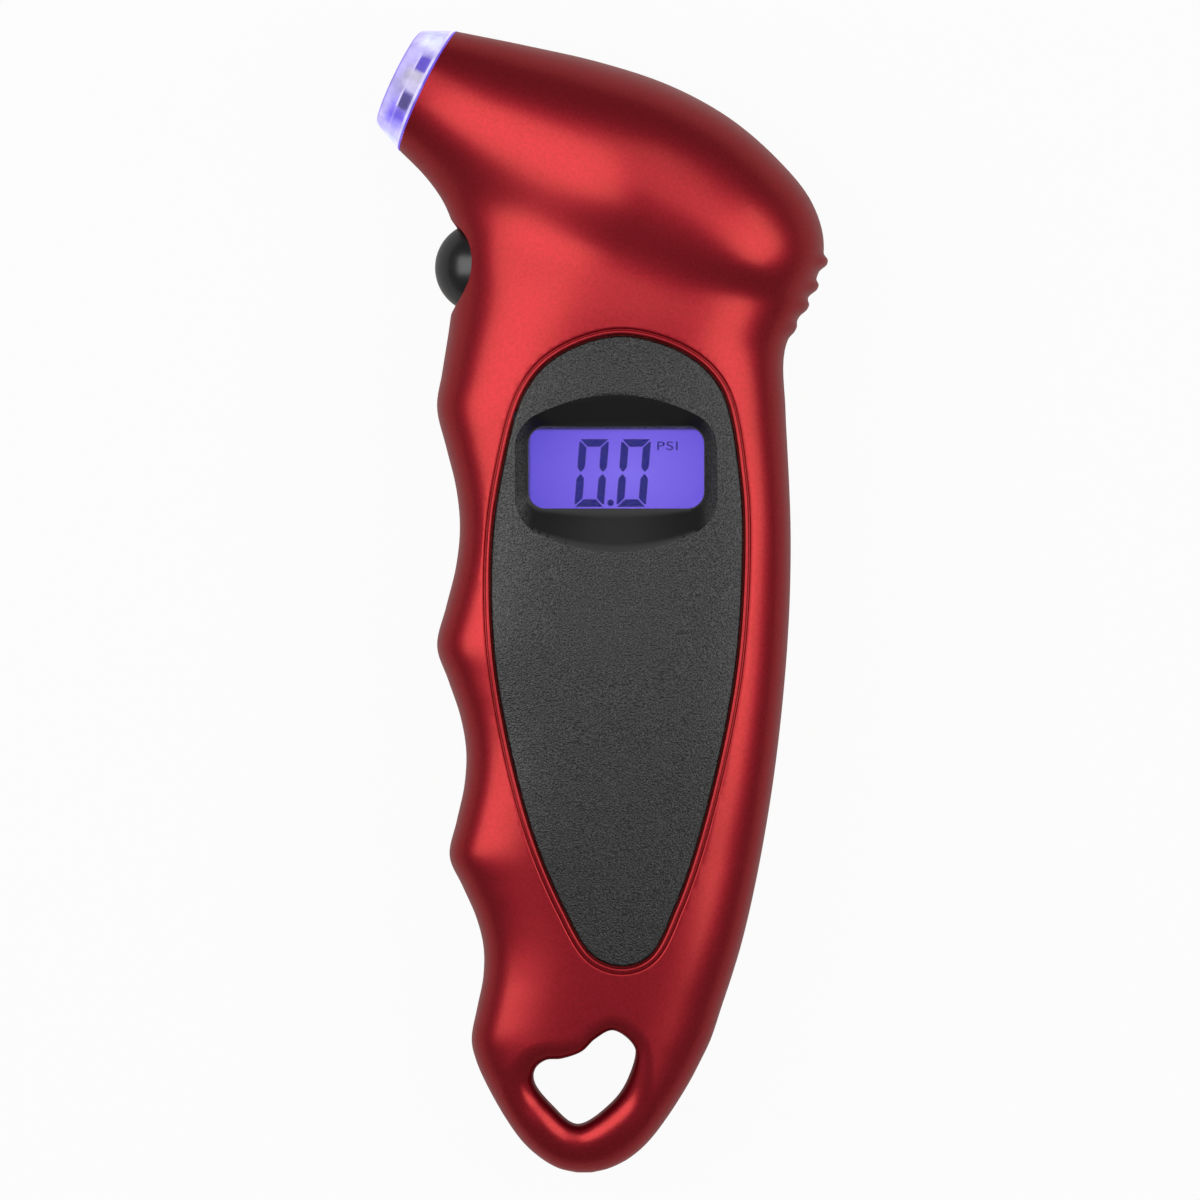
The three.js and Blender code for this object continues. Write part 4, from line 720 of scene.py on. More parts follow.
# Left and right points of the outline, one pair for each station from the nose to the tail
def edgePairs():
    form = bodyForm
    pairs = list(form["headPairs"])
    right = curveThrough(form["rightEdge"], perSpan=samplesPerPair)[::-1]
    crests = form["gripCrests"]
    for (topX, topY), (bottomX, bottomY) in zip(crests, crests[1:]):
        for i in range(form["grooveSteps"]):
            part = i / form["grooveSteps"]
            y = topY + (bottomY - topY) * part
            dip = form["grooveDepth"] * math.sin(math.pi * part) ** form["grooveFullness"]
            pairs.append(((topX + (bottomX - topX) * part + dip, y),
                          (float(np.interp(y, right[:, 1], right[:, 0])), y)))
    pairs.append((crests[-1], form["rightEdge"][-1]))
    startY = crests[-1][1]
    for part, leftX, rightX in form["tailRows"]:
        y = startY + (form["tipY"] - startY) * part
        pairs.append(((leftX, y), (rightX, y)))
    shiftX, shiftY = form["edgeShift"]
    settled = []
    for station, pair in enumerate(pairs):
        share = float(smooth(0, form["noseEnd"], station))
        settled.append([(x + shiftX * share, y + shiftY * share) for x, y in pair])
    return settled


pairs = edgePairs()
lastStation = len(pairs) - 1
leftCurve = curveThrough([pair[0] for pair in pairs], perSpan=samplesPerPair, even=True)
rightCurve = curveThrough([pair[1] for pair in pairs], perSpan=samplesPerPair, even=True)


def edgesAt(station):
    index = np.arange(len(leftCurve)) / samplesPerPair
    left = np.stack([np.interp(station, index, leftCurve[:, i]) for i in (0, 1)], -1)
    right = np.stack([np.interp(station, index, rightCurve[:, i]) for i in (0, 1)], -1)
    return left, right


# Squareness of the section: round at the nose, boxier along the handle, rounder at the tail
def sectionPower(station):
    power = 2.0
    for change, start, end in bodyForm["squareness"]:
        power = power + change * smooth(start, end, station)
    return power


# Height of the crown over the joint plane. front is an array of truths.
def crownHeight(x, y, front):
    form = bodyForm
    tilt = math.radians(form["noseTilt"])
    noseX, noseY = form["noseCentre"]
    alongNose = (x - noseX) * math.sin(tilt) - (y - noseY) * math.cos(tilt)
    ridge = np.where(front, *form["barrel"])
    barrel = form["noseRadius"] + (ridge - form["noseRadius"]) * smooth(0, form["barrelSwell"], alongNose)
    start = np.where(front, *form["tailStart"])
    tipY = form["tipY"] + form["edgeShift"][1]
    fall = np.maximum(0, (start - y) / (start - tipY)) ** form["tailFall"]
    handle = np.where(front, *form["handle"]) - np.where(front, *form["tailDrop"]) * fall
    handle = handle + form["neckRise"] * smooth(*form["neckSpan"], y) * np.where(front, 1, 0)
    below = form["foldSquash"] * (form["foldLevel"] + form["foldSlope"] * x - y)
    blend, blendFade = form["foldBlend"]
    share = 1 / (1 + np.exp(-below / np.maximum(form["foldLeast"], blend - blendFade * x)))
    depth = np.maximum(0, form["foldDepth"] - form["foldFade"] * x) * np.where(front, 1, form["foldRear"])
    crown = barrel * (1 - share) + handle * share - depth * np.exp(-(below / form["foldWidth"]) ** 2)
    tip = np.clip((form["taperY"] - y) / (form["taperY"] - tipY), 0, 1)
    return crown * np.sqrt(1 - tip * tip)


# Points of the body; side runs from -1 at the left edge to 1 at the right edge.
def bodyPoints(station, side, front, inset=0.0, lift=0.0):
    left, right = edgesAt(station)
    across = right - left
    across /= np.linalg.norm(across, axis=-1)[..., None]
    left = left + across * inset
    right = right - across * inset
    plan = left + (right - left) * ((side + 1) / 2)[..., None]
    power = sectionPower(station)
    profile = np.maximum(0, 1 - np.abs(side) ** power) ** (1 / power)
    height = (crownHeight(plan[..., 0], plan[..., 1], front) - inset + lift) * profile
    z = np.where(front, partingZ + height, np.maximum(inset, partingZ - height))
    lean = bodyForm["noseLean"] * (z - partingZ) * (1 - smooth(0, bodyForm["noseEnd"], station))
    tilt = math.radians(bodyForm["noseTilt"])
    plan = plan + lean[..., None] * np.array([-math.sin(tilt), math.cos(tilt)])
    return np.concatenate([plan, z[..., None]], -1)


# Height of the surface over places in plan. The station of each is found by halving.
def surfaceZ(x, y, front=True, lift=0.0):
    x, y = np.broadcast_arrays(np.asarray(x, float), np.asarray(y, float))
    low = np.zeros_like(x)
    high = np.full_like(x, lastStation)
    halvings = 26
    for _ in range(halvings):
        middle = (low + high) / 2
        left, right = edgesAt(middle)
        across = right - left
        above = across[..., 0] * (y - left[..., 1]) - across[..., 1] * (x - left[..., 0]) > 0
        high = np.where(above, middle, high)
        low = np.where(above, low, middle)
    left, right = edgesAt(low)
    across = right - left
    reach = (x - left[..., 0]) * across[..., 0] + (y - left[..., 1]) * across[..., 1]
    side = np.clip(2 * reach / (across ** 2).sum(-1) - 1, -1, 1)
    return bodyPoints(low, side, np.full(x.shape, front), 0.0, lift)[..., 2]


# Swells the right edge into the thumb ribs, each standing as proud as its own figure says.
def addRibs(points, side):
    form = bodyForm
    height = (points[..., 2] - partingZ) / form["ribHalfLength"]
    for ribY, proud in form["ribs"]:
        along = (points[..., 1] - ribY) / form["ribSpread"]
        swell = np.exp(-np.abs(along) ** 3 - height ** 4)
        points[..., 0] += proud * swell * smooth(form["ribStart"], 1, side)
    return points


# The whole body, or the same body set in by a wall, which has no ribs
def bodySolid(name, along, columns, inset=0.0, lift=0.0):
    angle = 2 * math.pi * np.arange(columns) / columns
    station, around = np.meshgrid(along, angle, indexing="ij")
    side = -np.cos(around)
    points = bodyPoints(station, side, around <= math.pi, inset, lift)
    return gridForm(name, points if inset else addRibs(points, side))


# Solid ring swept along a closed outline; the section is (outward, up) from the surface.
def sweptRing(name, outline, section, lift=0.0):
    columns = []
    for outward, up in section:
        loop = offsetLoop(outline, outward)
        columns.append(np.column_stack([loop, surfaceZ(loop[:, 0], loop[:, 1], True, lift) + up]))
    return gridForm(name, np.stack(columns, 1), ringed=True)


panelForm = {
    "outline": [
        (2.6, 35.6), (11.6, 33.1), (16.4, 28.3), (18.9, 16.5), (19.3, 5.6), (18.1, -10.7),
        (13.9, -30.2), (10.1, -41.6), (6.7, -48.1), (3.1, -49.5), (-0.9, -48.1), (-4.9, -41.6),
        (-9.5, -30.2), (-13.9, -10.7), (-14.7, 5.6), (-13.4, 16.4), (-10.05, 28.2), (-5.7, 32.9),
    ],
    "gap": 0.25, "floorZ": 23.1, "sink": -0.12,
    "edge": (0.35, 0.3),                 # how far its edge rolls in and down
    "bead": 0.58, "beadHeight": 0.26,    # the bead round it, and how deep that is rooted in the shell
    "beadRoot": 1.0, "beadOverlap": 0.2, "beadSink": 0.02,
    "groove": 0.12, "grooveRoll": 0.38, "grooveDepth": 0.34, "grooveOverlap": 0.01, "grooveLip": 0.004,
    "clear": 0.5,                        # how far a cutter stands clear of the surface
    "rows": (5, 30, 200),                # stations of its first and last row, and how many there are
    "wellWall": 1.5, "wellFloor": 1.4,
    "glassHole": (27.8, 15.3), "glassReach": (3.0, 1.0),
}
panelOutline = curveThrough(panelForm["outline"], closed=True, perSpan=12)

heartForm = {
    "outline": [
        (-2.45, -61.05), (-0.7, -59.4), (1.8, -58.2), (4.75, -60.7), (3.65, -65.45), (1.3, -68.6),
        (-3.1, -71.25), (-6.5, -68.7), (-8.95, -65.45), (-8.7, -63.35), (-7.3, -62.25), (-5.2, -62.05),
    ],
    # how far out from the hole its edge starts to roll in and how deep it rolls, above and below
    "rollSpan": (-60.5, -67.5), "roll": (2.5, 5.4), "rollDepth": (2.2, 4.0),
    "rollPower": (2.6, 1.85),                # above 2 the roll starts softly
    "rollSteps": [
        1.0, 0.995, 0.98, 0.955, 0.92, 0.87, 0.81, 0.74, 0.66, 0.57, 0.48, 0.39, 0.3, 0.22, 0.15, 0.1,
        0.06, 0.03,
    ],
    "clear": 4.0,
}
buttonForm = {
    "y": 45.1, "radius": 6.2, "gap": 0.3, "domeX": -16.2, "skirt": 1.0, "bore": (-60.0, -12.9),
    # half width and half height of the lug behind the dome, its start and end; the stem's radius and reach
    "lug": (7.7, 4.2), "lugSpan": (-0.1, 1.1), "stem": 1.5, "stemSpan": (-0.2, 2.1),
}
noseForm = {"bore": 6.9, "boreDepth": 5.0, "led": 6.9, "ledBore": 1.2, "clear": 1.0}
screwForm = {
    "case": [(18.3, 54.6), (-3.2, 67.3), (0.6, -51.6)], "seatZ": 7.0, "head": 2.3, "headThick": 1.7,
    "shank": 1.1, "length": 12.5, "gap": 0.2, "sink": 0.05, "bossWall": 1.8, "bossTop": 40.0, "holeTop": 25.0,
    "flat": 0.62,            # share of the head's radius that is flat on top
    "brow": 0.35,            # share of its height at which its side stands upright
    "topFace": 0.3,          # radius of the first face of a turned screw, in the middle of its head
    "tipFace": 0.1,          # radius of its last face, at its tip
    # share of the head's radius that the cross reaches, half width of its slot, share of the height it sinks
    "cross": (0.55, 0.13, 0.6),
}
noseTurn = Matrix.Translation(at(*bodyForm["noseCentre"], partingZ)) @ Matrix.Rotation(
    math.radians(bodyForm["noseTilt"]), 4, "Z")
noseShear = Matrix(((1, 0, 0, 0), (0, 1, bodyForm["noseLean"], 0), (0, 0, 1, 0), (0, 0, 0, 1)))


# A bar along the nose axis, offset sideways in plan.
def noseBar(name, radius, start, end, offset=0.0, steps=64):
    bpy.ops.object.select_all(action="DESELECT")
    bpy.ops.mesh.primitive_cylinder_add(
        vertices=steps, radius=radius * mm, depth=(end - start) * mm,
        location=(offset * mm, (start + end) / 2 * mm, 0), rotation=(math.pi / 2, 0, 0))
    obj = bpy.context.object
    obj.name = name
    bpy.ops.object.transform_apply(location=True, rotation=True, scale=True)
    obj.data.transform(noseTurn)
    return obj


# Cutter for the key-ring hole, whose rims roll in above and below, more so at its lower end
def heartCutter():
    form = heartForm
    heart = curveThrough(form["outline"], closed=True, perSpan=12)
    low = smooth(0, 1, (heart[:, 1] - form["rollSpan"][0]) / (form["rollSpan"][1] - form["rollSpan"][0]))
    reach, depth, power = (first + (last - first) * low
                           for first, last in (form["roll"], form["rollDepth"], form["rollPower"]))
    rings = []
    for front, up in ((False, 1), (True, -1)):
        rolls = []
        for part in form["rollSteps"]:
            loop = offsetLoop(heart, (reach * (1 - part))[:, None])
            drop = depth * (1 - (1 - part ** power) ** (1 / power))
            rolls.append(np.column_stack([loop, surfaceZ(loop[:, 0], loop[:, 1], front) + up * drop]))
        rolls.append(np.column_stack([loop, rolls[-1][:, 2] - up * form["clear"]]))
        rings += rolls if front else rolls[::-1]
    return gridForm("heart_cutter", np.array(rings))


# What passes through both shells
def sharedCutters():
    button, nose = buttonForm, noseForm
    cutters = [
        noseBar("nose_bore", nose["bore"], -nose["boreDepth"], nose["clear"]),
        barForm("button_bore", "x", button["radius"] + button["gap"], *button["bore"],
                (button["y"], partingZ), steps=96),
        heartCutter(),
    ]
    for side in (1, -1):
        cutters.append(noseBar("lamp_bore", nose["ledBore"], -nose["boreDepth"], nose["clear"],
                               side * nose["led"], steps=24))
    return cutters


def frontShell(outer, cavity):
    form = panelForm
    shell = copyOf(outer, "front_casing")
    hollow = copyOf(cavity, "hollow")
    well = prismForm("well", offsetLoop(panelOutline, form["gap"] + form["wellWall"]),
                     form["floorZ"] - form["wellFloor"], far[2])
    combine(hollow, [well])
    lowerHalf = blockForm("lower_half", (-far[0], -far[1], -far[2]),
                          (far[0], far[1], partingZ + bodyForm["seam"] / 2))
    combine(shell, [hollow, lowerHalf])

    # round bead: half a turn from the panel's gap outwards
    start = form["gap"]
    ridge = [(start - form["beadOverlap"], -form["beadRoot"])]
    for angle in np.linspace(0, math.pi, 9):
        ridge.append((start + form["bead"] / 2 * (1 - math.cos(angle)),
                      form["beadHeight"] * math.sin(angle) - form["beadSink"]))
    ridge.append((start + form["bead"], -form["beadRoot"]))
    combine(shell, [sweptRing("bead", panelOutline, ridge)], "UNION")

    # groove beside it, whose outer side rolls up into the shell
    inner = start + form["bead"] - form["grooveOverlap"]
    foot = inner + form["groove"]
    depth, roll = form["grooveDepth"], form["grooveRoll"]
    groove = [(inner, form["clear"]), (inner, -depth)]
    for angle in np.linspace(0, 0.5 * math.pi, 10):
        groove.append((foot + roll * (1 - math.cos(angle)),
                       -depth * (1 - math.sin(angle)) + form["grooveLip"]))
    groove.append((foot + roll, form["clear"]))
    combine(shell, [sweptRing("groove", panelOutline, groove)])

    middleX, middleY = windowPlan
    holeX, holeY = form["glassHole"]
    below, above = form["glassReach"]
    combine(shell, [
        prismForm("pocket", offsetLoop(panelOutline, form["gap"]), form["floorZ"], far[2]),
        blockForm("glass_hole", (middleX - holeX / 2, middleY - holeY / 2, form["floorZ"] - below),
                  (middleX + holeX / 2, middleY + holeY / 2, form["floorZ"] + above)),
    ] + sharedCutters())
    return finishPiece(shell, "lacquer", "housing", ["front_shell"])


bayForm = {
    "x": 3.0, "floorZ": 0.5, "wall": 1.2,
    "coinRadius": 10.3, "coinY": 2.0, "coinCeiling": 5.65,
    "stackY": -15.0, "cellRadius": 5.95, "cellCeiling": 13.7, "cellHalf": 9.95,
    "doorThick": 1.8, "doorGap": 0.25, "doorLedge": 1.6, "doorCorner": 3.0, "doorSink": 0.1,
    "bevel": (0.3, 3, 50),             # width, segments and least angle of the door's soft edge
    "screwReach": 3.4, "screwEdge": 1.9, "screwHead": 1.4, "screwHeadThick": 0.85, "screwShank": 0.8,
    "screwLength": 4.6, "screwSeatZ": 1.0, "screwGap": 0.2, "seatGap": 0.15,
    "bossWall": 1.6, "bossTop": 6.4, "bossRoof": 0.8,
    # slots for the tails of the battery contacts: half sizes, heights, places
    "tailSlot": (1.2, 0.45), "tailSpan": (2.0, 25.0),
    "tails": [(-1.0, 10.4), (7.0, 10.4), (-5.69, -15.0), (11.51, -15.0)],
    "below": (-5.0, -2.0),             # where solids and cutters that leave through the back start
    "apart": 0.01,                     # keeps the ends of the two battery boxes off one plane
}


def roundedLoop(centre, width, height, corner, steps=12):
    loop = []
    for sideX, sideY, quarter in ((1, 1, 0), (-1, 1, 1), (-1, -1, 2), (1, -1, 3)):
        for i in range(steps + 1):
            angle = (quarter + i / steps) * math.pi / 2
            loop.append((centre[0] + sideX * (width / 2 - corner) + corner * math.cos(angle),
                         centre[1] + sideY * (height / 2 - corner) + corner * math.sin(angle)))
    return np.array(loop)


# Centre, width and height of the battery door and the places of its two screws
def doorPlan():
    bay = bayForm
    screws = [(bay["x"], bay["coinY"] + bay["coinRadius"] + bay["screwReach"]),
              (bay["x"], bay["stackY"] - bay["cellRadius"] - bay["screwReach"])]
    topY = screws[0][1] + bay["screwEdge"]
    bottomY = screws[1][1] - bay["screwEdge"]
    width = 2 * (max(bay["coinRadius"], bay["cellHalf"]) + bay["doorLedge"])
    return (bay["x"], (topY + bottomY) / 2), width, topY - bottomY, screws


def rearShell(outer, cavity):
    bay, screw = bayForm, screwForm
    boxFoot, cutFoot = bay["below"]
    centre, width, height, doorScrews = doorPlan()
    half = max(bay["coinRadius"], bay["cellHalf"]) + bay["wall"]
    coinTopY = bay["coinY"] + bay["coinRadius"]
    cellTopY = bay["stackY"] + bay["cellRadius"]
    bottomY = bay["stackY"] - bay["cellRadius"]
    shell = copyOf(outer, "rear_casing")
    hollow = copyOf(cavity, "hollow")

    # what stays solid inside the shell: boxes round the batteries and bosses round the screws
    kept = [
        blockForm("coin_box", (bay["x"] - half, bottomY - bay["wall"], boxFoot),
                  (bay["x"] + half, coinTopY + bay["wall"], bay["coinCeiling"] + bay["wall"])),
        blockForm("cell_box", (bay["x"] - half, bottomY - bay["wall"] + bay["apart"], boxFoot),
                  (bay["x"] + half, cellTopY + bay["wall"], bay["cellCeiling"] + bay["wall"])),
    ]
    for place in screw["case"]:
        kept.append(barForm("boss", "z", screw["head"] + screw["bossWall"], boxFoot, screw["bossTop"], place))
    for place in doorScrews:
        kept.append(barForm("door_boss", "z", bay["screwShank"] + bay["bossWall"], boxFoot,
                            bay["bossTop"], place))
    combine(hollow, kept)
    upperHalf = blockForm("upper_half", (-far[0], -far[1], partingZ - bodyForm["seam"] / 2), far)
    combine(shell, [hollow, upperHalf])

    gap = 2 * bay["doorGap"]
    cutters = [
        prismForm("door_seat", roundedLoop(centre, width + gap, height + gap, bay["doorCorner"]),
                  cutFoot, bay["doorThick"]),
        barForm("coin_pocket", "z", bay["coinRadius"], bay["floorZ"], bay["coinCeiling"],
                (bay["x"], bay["coinY"]), steps=96),
        blockForm("cell_pocket", (bay["x"] - bay["cellHalf"], bottomY, bay["floorZ"]),
                  (bay["x"] + bay["cellHalf"], cellTopY, bay["cellCeiling"])),
    ]
    for place in screw["case"]:
        for name, radius, top in (("counterbore", screw["head"], screw["seatZ"]),
                                  ("clearance", screw["shank"], screw["holeTop"])):
            cutters.append(barForm(name, "z", radius + screw["gap"], cutFoot, top, place))
    for place in doorScrews:
        cutters.append(barForm("pilot", "z", bay["screwShank"] + bay["screwGap"], cutFoot,
                               bay["bossTop"] - bay["bossRoof"], place))
    slotX, slotY = bay["tailSlot"]
    low, high = bay["tailSpan"]
    for x, y in bay["tails"]:
        cutters.append(blockForm("tail_slot", (x - slotX, y - slotY, low), (x + slotX, y + slotY, high)))
    combine(shell, cutters + sharedCutters())
    return finishPiece(shell, "lacquer", "housing", ["rear_shell"])


rowShares, rowStations = zip(*bodyForm["rowPlan"])
bodyRows = np.interp(np.linspace(0, 1, bodyForm["rows"]), rowShares, rowStations)
outerSolid = bodySolid("outer", bodyRows, bodyForm["round"])
cavitySolid = bodySolid("cavity", np.linspace(*bodyForm["cavityRows"]), bodyForm["cavityRound"],
                        bodyForm["wall"])
frontShell(outerSolid, cavitySolid)
rearShell(outerSolid, cavitySolid)
print("shells made")


recessForm = {
    "centre": (2.16, 17.05), "width": 27.3, "height": 21.2, "corner": 5.2, "bulge": 2.6,
    "footZ": 25.4, "ledge": 0.15,
    "slope": (0, 0.2, 0.4, 0.6, 0.8, 1, 1.3),    # shares of the way from the window up to the rim
    # a face is in the recess that lies this much below the panel's surface, above its floor, and
    # no more than this outside the rim's box
    "below": 0.04, "above": 0.1, "outside": 0.2,
}
windowForm = {
    "width": windowSize[0], "height": windowSize[1], "corner": 2.3, "flange": 1.2, "thick": 0.8,
    "gap": 0.12, "topZ": 25.2, "holeFoot": 20.0, "flangeGap": 0.1,
}


# Rounded rectangle whose top and bottom edges arch out by the bulge
def barrelLoop(centre, width, height, corner, bulge, steps=16, archSteps=30):
    slope = math.atan(4 * bulge / (width - corner))
    last = math.pi / 2 - slope
    endX = width / 2 - corner + corner * math.cos(last)
    endY = height / 2 - bulge
    quarter = []
    for i in range(steps + 1):
        angle = last * i / steps
        quarter.append((width / 2 - corner + corner * math.cos(angle),
                        endY + corner * (math.sin(angle) - math.sin(last))))
    for i in range(1, archSteps + 1):
        part = 1 - i / archSteps
        quarter.append((endX * part, endY + bulge * (1 - part * part)))
    half = quarter + [(-x, y) for x, y in quarter[-2::-1]]
    loop = half + [(-x, -y) for x, y in half]
    return np.array(loop) + np.array(centre)


# Rounded outline of the window, grown all round by a distance
def windowLoop(grow=0.0, corner=windowForm["corner"]):
    return roundedLoop(windowPlan, windowForm["width"] + 2 * grow, windowForm["height"] + 2 * grow, corner)


def displayPanel(outer):
    form, recess, window = panelForm, recessForm, windowForm
    panel = bodySolid("display_bezel", np.linspace(*form["rows"]), bodyForm["round"], lift=form["sink"])
    combine(panel, [prismForm("panel_prism", panelOutline, form["floorZ"], far[2])], "INTERSECT")

    # its edge rolls over
    inward, down = form["edge"]
    clear = form["clear"]
    rolled = [(clear, clear), (-inward, clear)]
    for angle in np.linspace(0.06 * math.pi, 0.5 * math.pi, 8):
        rolled.append((inward * (math.sin(angle) - 1), -down * (1 - math.cos(angle))))
    rolled.append((clear, -down))
    combine(panel, [sweptRing("edge_cutter", panelOutline, rolled, form["sink"])])

    # sloping recess, the window's hole and the seat of its flange behind
    ledge = 2 * recess["ledge"]
    foot = barrelLoop(windowPlan, window["width"] + ledge, window["height"] + ledge, window["corner"], 0)
    rim = barrelLoop(recess["centre"], recess["width"], recess["height"], recess["corner"], recess["bulge"])
    rimZ = surfaceZ(rim[:, 0], rim[:, 1]) + form["sink"]
    rings = []
    for part in recess["slope"]:
        rings.append(np.column_stack([foot + (rim - foot) * part,
                                      recess["footZ"] + (rimZ - recess["footZ"]) * part]))
    rings.append(np.column_stack([rings[-1][:, :2], np.full(len(rim), far[2])]))
    combine(panel, [
        gridForm("recess", np.array(rings)),
        prismForm("window_hole", windowLoop(), window["holeFoot"], far[2]),
        prismForm("flange_seat", windowLoop(window["flange"]), window["holeFoot"],
                  form["floorZ"] + window["thick"] + window["flangeGap"]),
    ])

    # the recess gets its own finish
    panel.data.materials.clear()
    panel.data.materials.append(finishes["grained"])
    panel.data.materials.append(finishes["recess"])
    centres = np.array([(face.center - shift) / mm for face in panel.data.polygons])
    below = surfaceZ(centres[:, 0], centres[:, 1]) + form["sink"] - centres[:, 2]
    reach = np.abs(centres[:, :2] - recess["centre"]) - np.array([recess["width"], recess["height"]]) / 2
    inRecess = ((below > recess["below"]) & (reach.max(axis=1) < recess["outside"])
                & (centres[:, 2] > form["floorZ"] + recess["above"]))
    panel.data.polygons.foreach_set("material_index", inRecess.astype(np.int32))
    return finishPiece(panel, None, "housing", ["display_panel"])


def displayWindow():
    form = windowForm
    foot, gap = panelForm["floorZ"], form["gap"]
    flange = prismForm("display_lens", windowLoop(form["flange"] - gap), foot, foot + form["thick"])
    pad = prismForm("pad", windowLoop(-gap, form["corner"] - gap), foot + form["flangeGap"], form["topZ"])
    combine(flange, [pad], "UNION")
    return finishPiece(flange, "lens", "housing", ["display_window"])


pictureForm = {
    "z": 22.42, "thick": 0.03,
    "glass": (25.4, 12.8, 1.0),      # width, height, corner
    "glassThick": 0.02, "lift": 0.012,
    "topLeft": (-2.76, 21.74),       # corner of the first digit
    "digits": 2,
    "digit": (4.0, 9.15),
    "slant": 0.079,
    "pitch": 5.67,
    "stroke": 1.03,
    "split": 0.24,                   # clear line between segments
    "corner": 0.25,                  # how much the outer corners are cut off
    "point": 0.62,                   # how far a segment's end tapers, as a share of the stroke
    "dot": (1.42, 13.14), "dotRadius": 0.44,
    "unit": "PSI", "unitPlace": (7.58, 20.25), "unitSize": (2.76, 1.2), "unitSpacing": 1.1,
}


# Outlines of the segments of one nought, from its top left corner in drawing millimetres
def digitSegments():
    form = pictureForm
    width, height = form["digit"]
    stroke, split, corner = form["stroke"], form["split"] / 2, form["corner"]
    middle = height / 2
    taper = form["point"] * stroke
    top = [(split, 0), (width - split, 0), (width - stroke - split, -stroke), (stroke + split, -stroke)]
    upper = [
        (0, -split - corner), (corner, -split - corner), (stroke, -stroke - split),
        (stroke, -middle + split + taper), (stroke * 0.5, -middle + split), (0, -middle + split + taper),
    ]
    shapes = [top, [(x, -height - y) for x, y in top]]
    for flipX in (False, True):
        for flipY in (False, True):
            shapes.append([(width - x if flipX else x, -height - y if flipY else y) for x, y in upper])
    return shapes


# The generic pressure unit as a thin solid
def unitText(low):
    form = pictureForm
    bpy.ops.object.select_all(action="DESELECT")
    bpy.ops.object.text_add()
    text = bpy.context.object
    text.data.body = form["unit"]
    text.data.extrude = 0.01         # any depth, because its size is set below
    text.data.space_character = form["unitSpacing"]
    bpy.ops.object.convert(target="MESH")
    text = bpy.context.object
    wanted = (*form["unitSize"], form["thick"])
    text.scale = [length * mm / now for length, now in zip(wanted, text.dimensions)]
    text.location = at(*form["unitPlace"], low + form["thick"] / 2)
    bpy.ops.object.transform_apply(location=True, rotation=True, scale=True)
    return text


def lcdPicture():
    form = pictureForm
    width, height, corner = form["glass"]
    half = form["glassThick"] / 2
    glass = prismForm("lcd_picture", roundedLoop(windowPlan, width, height, corner),
                      form["z"] - half, form["z"] + half)
    finishPiece(glass, "lcd", "housing", [])
    left, topY = form["topLeft"]
    low = form["z"] + form["lift"]
    high = low + form["thick"]
    parts = []
    for digit in range(form["digits"]):
        for shape in digitSegments():
            loop = [(left + digit * form["pitch"] + x + form["slant"] * y, topY + y) for x, y in shape]
            parts.append(prismForm("segment", loop, low, high))
    parts.append(barForm("point", "z", form["dotRadius"], low, high, form["dot"], steps=32))
    pick(*parts, unitText(low))
    bpy.ops.object.join()
    segments = bpy.context.object
    segments.name = "lcd_segments"
    return finishPiece(segments, "ink", "housing", [])


displayPanel(outerSolid)
displayWindow()
lcdPicture()
bpy.data.objects.remove(outerSolid)
bpy.data.objects.remove(cavitySolid)
print("display made")


# Turned piece: a filled circle extruded and scaled along its axis through (radius, place) steps.
def turnedForm(name, profile, steps=64):
    bpy.ops.object.select_all(action="DESELECT")
    radius, place = profile[0]
    bpy.ops.mesh.primitive_circle_add(
        vertices=steps, radius=radius * mm, fill_type="NGON", location=(0, 0, place * mm))
    obj = bpy.context.object
    obj.name = name
    bpy.ops.object.transform_apply(location=True, rotation=True, scale=True)
    bpy.ops.object.mode_set(mode="EDIT")
    bpy.ops.mesh.select_all(action="SELECT")
    for nextRadius, nextPlace in profile[1:]:
        bpy.ops.mesh.extrude_region_move(TRANSFORM_OT_translate={"value": (0, 0, (nextPlace - place) * mm)})
        ratio = nextRadius / radius
        bpy.ops.transform.resize(value=(ratio, ratio, 1))
        radius, place = nextRadius, nextPlace
    bpy.ops.mesh.select_all(action="SELECT")
    bpy.ops.mesh.normals_make_consistent(inside=False)
    bpy.ops.object.mode_set(mode="OBJECT")
    return obj


# Quarter of an ellipse, from the rim of a dome up to its pole, where a tiny face stays
def arcProfile(radius, place, height, steps=20, smallest=0.02):
    arc = []
    for i in range(steps + 1):
        angle = math.pi / 2 * i / steps
        arc.append((max(smallest, radius * math.cos(angle)), place + height * math.sin(angle)))
    return arc


def buttonDome():
    form = buttonForm
    profile = [(form["radius"], 0.0)] + arcProfile(form["radius"], form["skirt"], form["radius"])
    dome = turnedForm("button_dome", profile, steps=96)
    # its axis points to -X, from the back of the skirt outwards
    backX = form["domeX"] + form["skirt"]
    dome.data.transform(Matrix.Translation(at(backX, form["y"], partingZ))
                        @ Matrix.Rotation(-math.pi / 2, 4, "Y"))
    halfY, halfZ = form["lug"]
    start, end = form["lugSpan"]
    lug = blockForm("lug", (backX + start, form["y"] - halfY, partingZ - halfZ),
                    (backX + end, form["y"] + halfY, partingZ + halfZ))
    start, end = form["stemSpan"]
    stem = barForm("stem", "x", form["stem"], backX + start, backX + end, (form["y"], partingZ))
    combine(dome, [lug, stem], "UNION")
    return finishPiece(dome, "buttonBlack", "button", ["button_cap"])


collarForm = {
    "length": 4.6, "tip": 6.95, "base": 9.0, "corner": 0.6, "cornerSteps": 6, "cornerLean": 0.18,
    "spigot": 6.6, "spigotLength": 3.5, "bore": 5.5, "clear": 1.0, "gap": 0.1, "lampPocket": (-6.0, 0.8),
}


